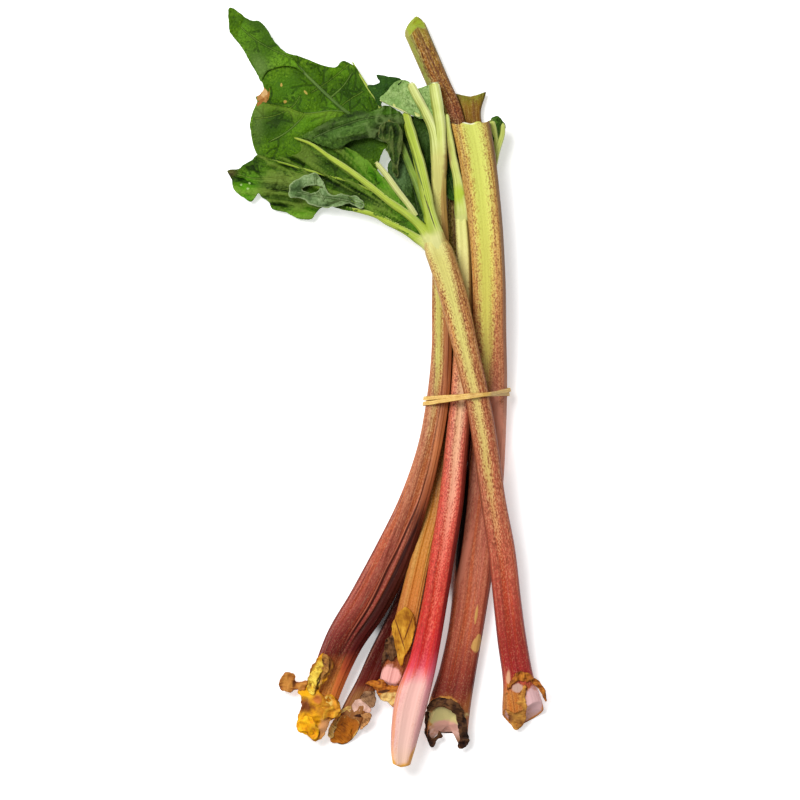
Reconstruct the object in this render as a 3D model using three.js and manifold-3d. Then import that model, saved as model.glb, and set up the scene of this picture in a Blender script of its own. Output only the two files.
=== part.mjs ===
// A bunch of rhubarb: six pulled leaf stalks, one of them still bearing its leaf, held
// together by a rubber band wound twice, lying on a table.
// Millimetres, +Z up, the cut bases towards -Y and the leaf end towards +Y.
import * as THREE from 'three';
import { mergeVertices } from 'three/addons/utils/BufferGeometryUtils.js';
import Module from 'manifold-3d';

const wasm = await Module();
wasm.setup();

// Driving dimensions.
const PIECE_GAP = 0.3; // clear space left between touching pieces
const TABLE_SPAN = 1000;
const TABLE_BITE = 40; // depth of the block that flattens the spots resting on the table
const BUNCH_CENTRE = [-1.1, 0.9]; // middle of the bunch in the layout below

const STALK_SIDES = 20;
const RINGS_PER_SPAN = 2;
const RIB_RELIEF = 0.035; // of the half width, on alternate edges of the section
const FACE_POWER = 2.9; // the inner face of a stalk is flat, with two shoulders
const BACK_POWER = 2.2; // the back is nearly round
const GROOVE_DEPTH = 0.16;
const GROOVE_WIDTH = 0.42;
const END_FADE = 5; // how soon a slanted end stops shaping the stalk

const RIB_SIDES = 6;
const RINGS_PER_RIB_SPAN = 1;
const BAND_SIDES = 8;
const BLADE_THICKNESS = 0.9;
const FLAP_THICKNESS = 2;
const SHEET_CELL = 9;
const HEEL_CELL = 6;
const SHEET_HEIGHTS = [-20, 80]; // every sheet lies between these
const SWELL_SPREAD = 11; // how far a known height is felt
const FAR_WEIGHT = 1e-9; // what is felt of it farther off
const RIB_SEAT = 0.8; // how far below a rib's middle the blade meets it

const BAND_WIDTH = 3.2;
const BAND_THICKNESS = 1.2;
const BAND_CLEARANCE = 0.5; // between the stalks and the inside of the band
const BAND_Y = -7; // where the band crosses the middle of the bunch
const BAND_X = 46;
const BAND_SLOPE = 0.11; // the band's left side is lower down the bunch
const BAND_SPREAD = 1.8; // how far each winding strays from the middle line
const BAND_RISE = 0.65; // how far a winding lifts where it crosses the other
const BAND_CROSSING = 1.25; // where they cross, in radians round the bunch
const BAND_STEPS = 44;
const BAND_POWER = 5; // a winding's section is a flat bar with rounded corners
const BAND_MIDDLE_Z = 18;
const BAND_CONTACTS = 72;
const GIRTH_SIDES = 48;
const GIRTH_STEPS = 400;
const GIRTH_SHARE = [0.2, 0.8]; // the stretch of each stalk where the band can cross it

// Stations along each stalk, from its base: x, y, z of the middle, width, depth, and the
// turn of the section in degrees.
const leftStations = [
  [-48, -232, 9, 17, 12, -18], [-42, -206, 10.5, 22, 15, -20], [-30.5, -175.5, 13, 24, 18, -22],
  [-14, -147, 16.5, 24, 17.5, -24], [4, -112.5, 20, 23, 16, -22], [18.2, -77.5, 24.2, 18, 14, -15],
  [29, -43, 24, 16, 13, -8], [35.2, -8.5, 21.8, 15, 12.5, -5], [38, 26, 21, 14, 12, 0],
  [38, 61, 20.5, 13.5, 11.5, 0], [37.5, 95.5, 20, 12, 11, 0], [36, 130, 20, 10.5, 10, 0],
  [36, 165, 21, 10.5, 9.5, 0],
];
const leafStations = [
  [96, -240, 7.5, 30, 15, 0], [94.5, -222, 7.6, 28, 15.5, 0], [91.5, -203, 9, 21.5, 15.5, 0],
  [87, -175.5, 12.5, 20, 15, 0], [83.5, -147.5, 16.5, 19, 14.5, 0], [79.5, -112.5, 21, 18.5, 14.5, 0],
  [73.5, -77.5, 24.3, 17, 14, 0], [67.5, -36, 29.4, 17, 14, 0], [62.6, -8.5, 32.6, 16.5, 14, 0],
  [54.5, 26, 35, 17, 14, 0], [46.5, 60.5, 35.5, 19, 13.5, 0], [38.5, 86.5, 35, 19, 13, 0],
  [32.5, 101.5, 34.5, 19, 12.5, 0],
];
const pinkStations = [
  [10, -264, 17.5, 11, 11, 0], [11.5, -246, 19.5, 18, 15, 0], [17, -216.5, 22.5, 22.5, 17.5, 0],
  [25.2, -188.5, 24.4, 19, 16, 0], [33.5, -146.5, 26, 17, 14.5, 0], [39, -112, 27.3, 17, 14, 0],
  [44.5, -77.5, 27, 17, 13.5, 0], [48, -43, 24.7, 16, 13.5, 0], [51.3, -8.5, 21.5, 15, 13, 0],
  [52.5, 26, 20.7, 13, 12.5, 0], [52.7, 61, 20, 10.6, 11.5, 0], [52, 95.5, 19.5, 8.6, 10.5, 0],
  [50.4, 130, 19.5, 8, 9.5, 0],
];
const broadStations = [
  [42, -252, 7, 27, 14.5, 0], [43, -226, 7.8, 29, 16, 0], [49.5, -196.5, 8.5, 25, 16, 0],
  [56, -161.5, 8.8, 24, 15.5, 0], [63.5, -113, 8.8, 23.5, 15, 0], [69, -64, 8.8, 24, 14.5, 0],
  [71.3, -22.5, 9.8, 23.5, 14.5, 0], [71.8, 5.5, 13.5, 23.5, 14.5, 0], [71, 40, 19.5, 23.5, 14.5, 0],
  [70.6, 75, 21.5, 23, 14.5, 0], [67.9, 116, 23, 23.5, 14.5, 0], [62.8, 157.5, 25, 25, 14.5, 0],
  [57.5, 185, 26, 26, 14.5, 0],
];
const longStations = [
  [0.5, -217, 9.5, 16, 12, 0], [6.5, -192.5, 14, 17.5, 13, 0], [11.5, -171.5, 16.8, 17, 13, 0],
  [17, -147, 17.5, 15.5, 12.5, 0], [24.8, -112.5, 17.2, 14, 12, 0], [33.5, -78, 15.2, 14.5, 12, 0],
  [36, -43, 10.6, 14.5, 12, 0], [38, -8.5, 8.5, 14.5, 12, 0], [42.5, 26.5, 7.5, 14.5, 12, 0],
  [47.5, 61.5, 7, 14.5, 12, 0], [51, 96, 7, 14.5, 12, 0], [52.5, 131, 7.3, 14.5, 12.5, 0],
  [50, 166, 8.5, 15, 12.5, 0], [44.5, 192, 8.5, 15.5, 12.5, 0], [35, 214.5, 7.5, 15.5, 12.5, 10],
  [16, 258.5, 6.2, 16, 13, 14],
];
const darkStations = [
  [-34, -250, 5.3, 13, 11, 0], [-24.5, -229, 6.2, 17, 13, 0], [-14, -206, 5.8, 14.5, 12, 0],
  [-5, -186.5, 5, 14.5, 10.5, 0], [11, -153, 4.6, 14, 9.5, 0], [26.5, -113, 4.6, 14, 9.5, 0],
  [41, -78, 4.6, 13, 9.5, 0], [51.2, -43.5, 5.5, 13, 10.5, 0], [52.5, -8.5, 7.6, 13, 11.5, 0],
  [57, 26.5, 5.4, 13, 10.5, 0], [62.5, 61.5, 5.2, 13.5, 10.5, 0], [65.5, 96.5, 5.6, 13.5, 11, 0],
  [66.5, 131, 6, 13, 11, 0], [64, 166, 5.6, 12.5, 10.5, 0], [59.5, 190, 5.2, 12, 9, 0],
  [58.5, 206, 5.2, 21, 5, 0],
];

// How far each end of a stalk stops short of its last station, round the section:
// across runs from -1 to 1 over the width, rise from -1 at the back to 1 on the face.
const squareCut = () => 0;
const leftBaseCut = (across, rise) => 3 + 2 * rise + Math.cos(3 * across);
const leafBaseCut = (across, rise) => 6 + 15 * Math.abs(across + 0.45) - 6 * across + 5 * rise;
const pinkBaseCut = (across, rise) => 3 + 2.5 * Math.abs(across) + 2 * rise;
const broadNotch = (across) => Math.tanh(8 * (0.55 - Math.abs(across + 0.1)));
const broadBaseCut = (across, rise) => 20 + 14 * rise + 7 * broadNotch(across);
const longBaseCut = (across, rise) => 9 + 9 * rise;
const darkBaseCut = (across, rise) => 14 + 13 * rise;
const broadTopCut = (across) => 3 + 2.2 * across + 0.8 * Math.cos(9 * across);
const longTopCut = (across, rise) => 4 + 3.4 * rise - 2 * across;
const darkTopCut = (across) => 6 * Math.cos(1.4 * across) ** 2;

// The leaf's ribs, from the stalk outwards: x, y, z, width, depth.
const backRib = [
  [34, 104.5, 33.5, 12, 11], [30, 119, 31.5, 9, 9], [26.5, 136.5, 29, 8, 8],
  [22, 157.5, 25.5, 7.5, 7.5], [17, 175, 22.5, 7.5, 7], [12.5, 191, 20, 6.5, 6],
];
const midRib = [
  [12.5, 189, 20.5, 5, 4.5], [-10.5, 189.5, 18, 5, 4.5], [-27, 191.5, 16, 4.5, 4.5],
  [-39.5, 201.5, 14.5, 4, 4], [-53.5, 215, 13, 4, 4], [-66.5, 228, 11, 3.5, 3.5],
  [-83, 238.5, 8.5, 2.5, 3], [-97, 248, 6.5, 2, 2],
];
const brightRib = [
  [32, 103, 33, 10, 9], [23.5, 111, 31, 7, 7], [14.5, 119.5, 28.5, 6, 6], [2, 128.5, 25.5, 5, 5.5],
  [-11.5, 139.5, 22.5, 5, 5], [-25.5, 150.5, 20, 4.5, 4.5], [-39.5, 160, 17.5, 4, 4],
  [-52, 169, 15.5, 3, 3.5], [-64.5, 174, 13, 2, 2.5],
];
const oliveRib = [
  [29, 114.5, 31, 5, 6], [25.5, 126, 29, 5, 5.5], [21, 140, 26.5, 5, 5.5], [15.5, 154, 24, 5, 5],
  [10.5, 167, 21.5, 5, 4.5], [6.5, 176.5, 19.5, 4, 4], [3, 184.5, 18, 3, 3.5],
];
const lowerRib = [
  [30, 99.5, 32.5, 10, 9], [22, 102, 30.5, 6.5, 6.5], [12.5, 108.5, 27.5, 5, 5.5],
  [2, 114, 24.5, 4.5, 5], [-7.5, 119.5, 21, 4, 4], [-17.5, 122.5, 17, 3, 3], [-29, 125, 13, 2, 2.5],
];
const cutRib = [
  [20, 118.5, 29, 4, 4], [15.5, 125.5, 29, 4, 4.5], [7.5, 136, 28, 4, 4.5], [0, 146.5, 26.5, 4, 4.5],
  [-7.5, 156, 24.5, 3.5, 4],
];
const foldRib = [
  [-10.5, 136.5, 21.5, 3, 3.5], [-25.5, 143, 17.5, 3, 3.5], [-39.5, 147, 14.5, 3, 3],
  [-55, 151.5, 11.5, 2.5, 3], [-71.5, 156.5, 8.5, 2, 2.5], [-88.5, 161, 6, 2, 2],
];
const edgeRib = [
  [-21.5, 223.5, 9, 2.5, 3], [-17.5, 216, 10.5, 3, 3], [-12, 207, 12.5, 3, 3.5],
  [-6, 198.5, 15, 3, 3.5], [-3.5, 191.5, 17.5, 3, 3],
];
const sideRibs = [
  [[-27, 191.5, 15.5, 3, 3], [-39.5, 192.5, 13.5, 2, 2.5], [-57, 191, 11, 2, 2.5], [-71, 195.5, 8, 2, 2],
    [-83, 198, 5.5, 1.5, 2]],
  [[-57, 191, 11, 2, 2], [-62, 185, 10.5, 2, 2], [-71, 177.5, 8, 2, 2], [-81.5, 172, 6.5, 1.5, 2]],
  [[-39.5, 201.5, 14, 2.5, 3], [-30.5, 210, 12, 2, 2.5], [-35.5, 218.5, 10.5, 2, 2],
    [-45.5, 223.5, 9, 1.5, 2]],
];

// Outlines of the leaf's sheets as they lie folded over each other, seen from above.
const bladeOutline = [
  [-110, 265], [-102, 261], [-95.5, 256.5], [-88.5, 255.5], [-82.5, 248.5], [-79.5, 242],
  [-71.5, 234.5], [-60.5, 231], [-53.5, 228], [-40.5, 223.5], [-35.5, 224], [-30.5, 228],
  [-25.5, 226], [-21.5, 223.5], [-17.5, 215.5], [-12, 207.5], [-6, 199.5], [-2, 193.5], [9, 189],
  [10.5, 181], [6.5, 171], [3.5, 165.5], [-2, 165.5], [-5.5, 157], [-7, 150], [-14.5, 146],
  [-25.5, 150], [-39.5, 150], [-60.5, 153], [-76, 157], [-89.5, 161.5], [-94, 172.5], [-95.5, 183],
  [-94.5, 190], [-92, 196], [-90.5, 200.5], [-92, 203], [-88.5, 205], [-86, 208.5], [-87, 213],
  [-89, 215.5], [-95.5, 227.5], [-102, 238.5], [-107, 245], [-110, 250.5],
];
const lobeOutline = [
  [-60.5, 175], [-48, 172.5], [-32, 167.5], [-24.5, 160.5], [-6, 146], [3.5, 132.5], [6.5, 126.5],
  [14.5, 121], [26.5, 108.5], [32.5, 104], [28.5, 98], [21.5, 100], [16, 104], [9, 108.5],
  [2, 112.5], [-6, 118], [-14, 121.5], [-22, 123], [-30.5, 123.5], [-40.5, 126.5], [-47, 125],
  [-50, 121], [-52, 118], [-57, 117.5], [-62, 118], [-71, 122.5], [-80, 125], [-82.5, 130],
  [-87, 132.5], [-89.5, 135.5], [-92.5, 131.5], [-95, 130], [-100, 132.5], [-107.5, 139.5],
  [-108.5, 146], [-112, 152], [-103.5, 153], [-100, 156.5], [-95, 158.5], [-90.5, 162.5],
  [-78, 160.5], [-60.5, 164],
];
const curlOutline = [
  [-58, 173.5], [-43, 183], [-36, 186.5], [-23, 191.5], [-9.5, 193.5], [-2.5, 196.5], [5, 192],
  [11, 188], [12, 179], [10.5, 168], [6.5, 166.5], [-2, 172], [-6, 175], [-18.5, 174], [-27, 171.5],
  [-32, 167], [-38, 161], [-48, 166.5],
];
const paleOutline = [
  [-58.5, 143], [-57, 146.5], [-52, 149.5], [-48.5, 149], [-45, 144.5], [-42.5, 137.5],
  [-39.5, 134], [-29, 134.5], [-20, 130], [-13, 125], [-14.5, 121.5], [-24, 123], [-36, 128.5],
  [-46.5, 125.5], [-60.5, 131], [-67.5, 132], [-68.5, 137], [-63, 139.5],
];
const tipOutline = [
  [-110, 265], [-102, 260.5], [-95, 256.5], [-88.5, 255], [-82.5, 248], [-79, 242], [-71.5, 234.5],
  [-65.5, 229.5], [-58, 219], [-62.5, 222], [-71, 224], [-78, 222.5], [-83.5, 220.5], [-86, 217],
  [-87.5, 214], [-89, 215.5], [-95, 227.5], [-102, 238.5], [-107, 244.5], [-110, 250.5],
];
const innerOutline = [
  [10.5, 187], [21, 187], [30.5, 172], [30, 158], [28, 147.5], [28.5, 130.5], [30, 115],
  [25.5, 108], [17.5, 119], [12.5, 133], [6.5, 144], [3.5, 149.5], [7.5, 161.5], [10.5, 172],
];

// Heights of the sheets at their margins and on their swells: x, y, z.
const bladeMargin = [
  [-110, 265, 4], [-97, 257, 5], [-105, 243, 2.5], [-96, 225, 3], [-88, 211, 4], [-75, 234, 10],
  [-75, 210, 8.5], [-92, 195, -1], [-95, 180, -2.5], [-90, 163, 2], [-76, 188, 9], [-60, 203, 12],
  [-45, 214, 12], [-55, 227, 8.5], [-31, 226, 7.5], [-60, 170, 8], [-40, 155, 11], [-15, 150, 16],
  [-5, 160, 18], [-25, 175, 13], [8, 172, 19.5],
];
const lobeMargin = [
  [-110, 150, -1], [-100, 134, -3], [-94, 132, -3], [-85, 133, 4.5], [-95, 146, 5], [-80, 145, 7.5],
  [-70, 124, 1], [-57, 119, -2.5], [-50, 122, 2], [-60, 133, 7], [-40, 128, 8], [-55, 162, 12],
  [-40, 168, 14], [-4, 142, 23], [-75, 160, 8.5], [-25, 130, 12.5],
];
const curlHeights = [
  [-56, 174, 14.5], [-43, 182, 16.5], [-22, 191, 20.5], [-2, 195, 23], [11, 188, 22], [10, 169, 24.5],
  [-18, 175, 22.5], [-30, 169, 19.5], [-40, 163, 18], [-22, 183, 22], [-5, 184, 24.5],
];
const paleHeights = [
  [-50, 149, 13.5], [-66, 134, 9], [-43, 134, 12], [-30, 128, 14], [-14, 123, 19.5], [-55, 138, 11.5],
];
const tipHeights = [
  [-110, 265, 4.5], [-85, 252, 9.5], [-105, 243, 3], [-96, 225, 3.5], [-88, 214, 6], [-72, 223, 14.5],
  [-62, 222, 14], [-90, 238, 10], [-68, 232, 11.5],
];
const innerHeights = [
  [11, 186, 18.5], [24, 184, 18], [30, 160, 19.5], [8, 155, 21], [18, 125, 27.5], [29, 118, 27],
];

// Cut and torn leaf bases on the tops of the other stalks: x, y, z, width, depth.
const leftBaseRibs = [
  [[34.5, 160, 21.3, 6.5, 7], [32.5, 176.5, 22, 6.5, 7], [26.5, 191, 23.5, 6.5, 6.5],
    [21, 201, 25, 6.5, 6], [16, 210.5, 25.5, 5.5, 5]],
  [[38, 160, 21.3, 6.5, 7], [37, 178.5, 22.5, 7.5, 7], [35.5, 191, 23, 9, 6.5], [34, 201, 23.5, 10, 6],
    [32.5, 211, 23.5, 7.5, 5]],
  [[-4.5, 199.5, 23.5, 2, 2], [9, 193.5, 24.2, 3, 2.5], [24, 187.5, 24.2, 3.5, 3]],
];
const pinkBaseRibs = [
  [[51.5, 127, 19.5, 6.5, 7], [49, 144, 20, 5.5, 6.5], [46, 158, 20.5, 5, 6], [43.8, 171.5, 21, 4.5, 5],
    [42.3, 182, 21.5, 3.5, 4], [41.5, 189.5, 22, 2.5, 3]],
];
const broadBaseRibs = [
  [[71, 146, 19, 6.5, 6], [73, 159.5, 17.5, 6.5, 6], [74.5, 168.5, 17, 6, 6], [74, 178, 18, 5, 5],
    [72, 185.5, 19, 5.5, 4]],
  [[72, 146, 19, 5.5, 6], [75, 158, 18, 4, 5], [77, 166.5, 18, 4, 4.5], [80, 175.5, 18.5, 3.5, 4],
    [80.5, 183.5, 19.5, 3, 3]],
];
const paleLamina = [
  [7, 212], [15.5, 211.5], [19, 201], [23, 192], [26.5, 186.5], [22, 186.5], [9, 193], [-4.5, 199],
  [-1.5, 203.5], [3.5, 209],
];
const betweenLamina = [
  [21, 206], [30, 209], [34, 202.5], [34.5, 185.5], [30.5, 184], [28, 191], [21.5, 200.5],
];
const tornLamina = [
  [-7, 216.5], [2, 215], [10, 213], [6, 207], [1, 202.5], [-3.5, 199], [-7, 207.5], [-3.5, 214],
];
const pinkLamina = [
  [40.5, 152.5], [44, 149.5], [47, 138], [49.5, 131.5], [45, 132.5], [41.5, 137],
];
const broadLamina = [
  [72, 186.5], [76.5, 188.5], [80, 185.5], [82.5, 181.5], [81, 176.5], [76.5, 163.5], [74, 156.5],
  [72, 165], [72, 179],
];

// Dried and torn coverings at the bases.
const heelOutline = [
  [-45.5, -182.5], [-51, -190.5], [-54.5, -198], [-58, -204], [-63.5, -204], [-64, -200.5],
  [-67, -199.5], [-71, -200], [-74.5, -204], [-76, -207.5], [-74, -210.5], [-67.5, -212.5],
  [-62, -213.5], [-60, -216], [-61.5, -224.5], [-63.5, -233.5], [-62.5, -237.5], [-57, -242],
  [-52, -244.5], [-48.5, -246], [-45.5, -244], [-42, -238.5], [-39.5, -233], [-34, -228],
  [-32.5, -221], [-33.5, -212.5], [-30.5, -205], [-26.5, -196], [-21.5, -187.5], [-29, -186],
  [-39.5, -185.5],
];
const heelHeights = [
  [-33, -188, 25], [-38, -197, 24.5], [-50, -196, 18], [-24, -190, 17], [-44, -210, 24],
  [-46, -219, 22], [-35, -215, 16], [-58, -208, 12], [-74, -206, 7], [-60, -225, 12],
  [-48, -228, 20.5], [-50, -244, 12], [-36, -230, 13],
];
const scaleOutline = [
  [12, -151.5], [16, -153.5], [19.5, -160.5], [18.5, -171], [16.5, -178], [13, -185], [10, -193],
  [7, -185], [5, -174.5], [3.5, -164], [6.5, -157],
];
const scaleHeights = [
  [12, -152, 26.5], [12, -172, 25], [19, -165, 24], [4, -165, 25], [10, -192, 22.5], [6, -182, 23],
];
const flapOutline = [
  [-16, -205.5], [-8, -203.5], [-3.5, -202.5], [2, -206], [8.5, -207], [10.5, -211], [7, -222],
  [1, -218.5], [-6, -214.5], [-9, -209],
];
const flapHeights = [[-16, -205, 14], [-4, -206, 17.5], [8, -208, 20.5], [6, -221, 17]];

// The colour and roughness of each surface.
const leftStalkSkin = { color: 0xa9604a, roughness: 0.5 };
const leafStalkSkin = { color: 0xc48a58, roughness: 0.5 };
const pinkStalkSkin = { color: 0xd24a4c, roughness: 0.45 };
const broadStalkSkin = { color: 0xb98a5c, roughness: 0.55 };
const longStalkSkin = { color: 0xb0813f, roughness: 0.55 };
const darkStalkSkin = { color: 0x5e2320, roughness: 0.55 };
const leafGreen = { color: 0x47731f, roughness: 0.5 };
const paleGreen = { color: 0xc6cf78, roughness: 0.5 };
const dryGold = { color: 0xcf9a2a, roughness: 0.7 };
const dryBrown = { color: 0xb4762a, roughness: 0.7 };
const bandTan = { color: 0xd9b066, roughness: 0.6 };

const UP = new THREE.Vector3(0, 0, 1);

function curveThrough(rows) {
  const points = rows.map((row) => new THREE.Vector3(...row));
  return new THREE.CatmullRomCurve3(points, false, 'catmullrom', 0.5);
}

// Outline of a stalk's section on a half width and half depth of one.
function stalkSection(angle) {
  const cos = Math.cos(angle);
  const sin = Math.sin(angle);
  const power = sin > 0 ? FACE_POWER : BACK_POWER;
  const reach = (Math.abs(cos) ** power + Math.abs(sin) ** power) ** (-1 / power);
  const rib = 1 + RIB_RELIEF * Math.cos((STALK_SIDES / 2) * angle);
  const groove = sin > 0 ? GROOVE_DEPTH * Math.exp(-(((cos * reach) / GROOVE_WIDTH) ** 2)) : 0;
  return [cos * reach * rib, sin * reach * rib - groove];
}

function roundSection(angle) {
  return [Math.cos(angle), Math.sin(angle)];
}

// The skin of a stalk or rib: a function of the way along it, 0 to 1, and the angle round it.
function limbSkin(stations, section, baseCut, topCut, swell) {
  const spine = curveThrough(stations.map(([x, y, z]) => [x, y, z]));
  const girth = curveThrough(stations.map(([, , , width, depth, roll = 0]) => [width, depth, roll]));
  const length = spine.getLength();
  return (along, angle) => {
    const [across, rise] = section(angle);
    const baseShort = (baseCut(across, rise) / length) * (1 - along) ** END_FADE;
    const topShort = (topCut(across, rise) / length) * along ** END_FADE;
    const station = THREE.MathUtils.clamp(along + baseShort - topShort, 0, 1);
    const size = girth.getPoint(station);
    const tangent = spine.getTangent(station);
    const side = new THREE.Vector3().crossVectors(tangent, UP).normalize();
    const face = new THREE.Vector3().crossVectors(side, tangent);
    const roll = THREE.MathUtils.degToRad(size.z);
    side.applyAxisAngle(tangent, -roll);
    face.applyAxisAngle(tangent, -roll);
    return spine.getPoint(station)
      .addScaledVector(side, across * (size.x / 2 + swell))
      .addScaledVector(face, rise * (size.y / 2 + swell));
  };
}

// A closed tube of rings over a skin, with a fan of triangles over each end.
function tubeOver(skin, sides, rings) {
  const positions = [];
  const index = [];
  for (let ring = 0; ring <= rings; ring += 1) {
    for (let k = 0; k < sides; k += 1) {
      positions.push(...skin(ring / rings, (2 * Math.PI * k) / sides));
    }
  }
  for (let ring = 0; ring < rings; ring += 1) {
    for (let k = 0; k < sides; k += 1) {
      const here = ring * sides + k;
      const beside = ring * sides + ((k + 1) % sides);
      index.push(here, here + sides, beside, beside, here + sides, beside + sides);
    }
  }
  for (const [first, turn] of [[0, 1], [rings * sides, -1]]) {
    const middle = new THREE.Vector3();
    for (let k = 0; k < sides; k += 1) {
      middle.add(new THREE.Vector3().fromArray(positions, 3 * (first + k)));
    }
    positions.push(...middle.divideScalar(sides));
    const hub = positions.length / 3 - 1;
    for (let k = 0; k < sides; k += 1) {
      const a = first + k;
      const b = first + ((k + 1) % sides);
      index.push(hub, turn > 0 ? a : b, turn > 0 ? b : a);
    }
  }
  const geometry = new THREE.BufferGeometry();
  geometry.setAttribute('position', new THREE.Float32BufferAttribute(positions, 3));
  geometry.setIndex(index);
  return geometry;
}

function toSolid(geometry) {
  const bare = geometry.clone();
  bare.deleteAttribute('normal');
  bare.deleteAttribute('uv');
  const merged = mergeVertices(bare);
  return new wasm.Manifold(new wasm.Mesh({
    numProp: 3,
    vertProperties: new Float32Array(merged.attributes.position.array),
    triVerts: new Uint32Array(merged.index.array),
  }));
}

function toGeometry(solid) {
  const mesh = solid.getMesh();
  const geometry = new THREE.BufferGeometry();
  geometry.setAttribute('position', new THREE.BufferAttribute(mesh.vertProperties, mesh.numProp));
  geometry.setIndex(new THREE.BufferAttribute(mesh.triVerts, 1));
  geometry.computeVertexNormals();
  return geometry;
}

function fuse(solids) {
  return solids.reduce((whole, solid) => whole.add(solid));
}

// Moves the last station of a stalk outwards along its run.
function stretched(stations, distance) {
  const [x, y, z, ...size] = stations.at(-1);
  const end = new THREE.Vector3(x, y, z);
  const before = new THREE.Vector3(...stations.at(-2).slice(0, 3));
  const moved = end.clone().addScaledVector(end.clone().sub(before).normalize(), distance);
  return [...stations.slice(0, -1), [...moved, ...size]];
}

function stalkSolid({ stations, baseCut = squareCut, topCut = squareCut, swell = 0 }) {
  const reach = stretched(stretched(stations, swell).reverse(), swell).reverse();
  const skin = limbSkin(reach, stalkSection, baseCut, topCut, swell);
  return toSolid(tubeOver(skin, STALK_SIDES, (stations.length - 1) * RINGS_PER_SPAN));
}

function ribSolid(stations) {
  const skin = limbSkin(stations, roundSection, squareCut, squareCut, 0);
  return toSolid(tubeOver(skin, RIB_SIDES, (stations.length - 1) * RINGS_PER_RIB_SPAN));
}

// A smooth height over the table, from heights known at a few points.
function heightOver(known, spread) {
  return (x, y) => {
    let sum = 0;
    let weights = 0;
    for (const [knownX, knownY, knownZ] of known) {
      const far = ((x - knownX) ** 2 + (y - knownY) ** 2) / spread ** 2;
      const weight = Math.exp(-far / 2) + FAR_WEIGHT / (1 + far);
      sum += weight * knownZ;
      weights += weight;
    }
    return sum / weights;
  };
}

// A waved slab split alike on both faces, cut to an outline.
function sheetSolid({ outline, known, thickness = BLADE_THICKNESS, cell = SHEET_CELL, base }) {
  const height = heightOver(known, SWELL_SPREAD);
  const xs = outline.map(([x]) => x);
  const ys = outline.map(([, y]) => y);
  const startX = Math.min(...xs) - cell;
  const startY = Math.min(...ys) - cell;
  const columns = Math.ceil((Math.max(...xs) - startX) / cell) + 1;
  const rows = Math.ceil((Math.max(...ys) - startY) / cell) + 1;
  const positions = [];
  const index = [];
  for (const face of [1, 0]) {
    for (let row = 0; row <= rows; row += 1) {
      for (let column = 0; column <= columns; column += 1) {
        const x = startX + column * cell;
        const y = startY + row * cell;
        const top = height(x, y) + thickness / 2;
        const under = base === undefined ? top - thickness : base;
        positions.push(x, y, face ? top : under);
      }
    }
  }
  const layer = (columns + 1) * (rows + 1);
  const corner = (column, row) => row * (columns + 1) + column;
  for (let row = 0; row < rows; row += 1) {
    for (let column = 0; column < columns; column += 1) {
      const a = corner(column, row);
      const b = corner(column + 1, row);
      const c = corner(column + 1, row + 1);
      const d = corner(column, row + 1);
      index.push(a, b, c, a, c, d);
      index.push(layer + a, layer + c, layer + b, layer + a, layer + d, layer + c);
    }
  }
  const wall = (from, to) => index.push(from, layer + to, to, from, layer + from, layer + to);
  for (let column = 0; column < columns; column += 1) {
    wall(corner(column, 0), corner(column + 1, 0));
    wall(corner(column + 1, rows), corner(column, rows));
  }
  for (let row = 0; row < rows; row += 1) {
    wall(corner(columns, row), corner(columns, row + 1));
    wall(corner(0, row + 1), corner(0, row));
  }
  const slab = new THREE.BufferGeometry();
  slab.setAttribute('position', new THREE.Float32BufferAttribute(positions, 3));
  slab.setIndex(index);
  const shape = new THREE.Shape(outline.map((point) => new THREE.Vector2(...point)));
  const [lowest, highest] = SHEET_HEIGHTS;
  const cutter = new THREE.ExtrudeGeometry(shape, { depth: highest - lowest, bevelEnabled: false });
  cutter.translate(0, 0, lowest);
  return toSolid(slab).intersect(toSolid(cutter));
}

// What lies below the table's surface is pressed flat.
function pressOnTable(solid) {
  const block = new THREE.BoxGeometry(TABLE_SPAN, TABLE_SPAN, TABLE_BITE);
  block.translate(0, 0, -TABLE_BITE / 2);
  return solid.subtract(toSolid(block));
}

// The round of the bunch under the band: the tight outline of every stalk's section there.
function bunchGirth(stalks) {
  const points = [];
  const [from, to] = GIRTH_SHARE;
  for (const { stations } of stalks) {
    const skin = limbSkin(stations, stalkSection, squareCut, squareCut, 0);
    for (let k = 0; k < GIRTH_SIDES; k += 1) {
      const angle = (2 * Math.PI * k) / GIRTH_SIDES;
      for (let step = 0; step <= GIRTH_STEPS; step += 1) {
        const point = skin(from + (step / GIRTH_STEPS) * (to - from), angle);
        const offBand = point.y - BAND_Y - BAND_SLOPE * (point.x - BAND_X);
        if (Math.abs(offBand) < BAND_WIDTH / 2 + BAND_SPREAD) {
          points.push([point.x, point.z]);
        }
      }
    }
  }
  points.sort((a, b) => a[0] - b[0] || a[1] - b[1]);
  const turn = (o, a, b) => (a[0] - o[0]) * (b[1] - o[1]) - (a[1] - o[1]) * (b[0] - o[0]);
  const chain = (list) => {
    const kept = [];
    for (const point of list) {
      while (kept.length > 1 && turn(kept.at(-2), kept.at(-1), point) <= 0) {
        kept.pop();
      }
      kept.push(point);
    }
    return kept.slice(0, -1);
  };
  return [...chain(points), ...chain(points.reverse())];
}

// How far out the tight outline reaches in each direction, which is where the band lies.
function bandPoint(girth, middle, direction, clearance) {
  const outward = [Math.cos(direction), Math.sin(direction)];
  let best = -Infinity;
  let contact = middle;
  for (const point of girth) {
    const reach = (point[0] - middle[0]) * outward[0] + (point[1] - middle[1]) * outward[1];
    if (reach > best) {
      best = reach;
      contact = point;
    }
  }
  return [contact[0] + outward[0] * clearance, contact[1] + outward[1] * clearance];
}

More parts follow.
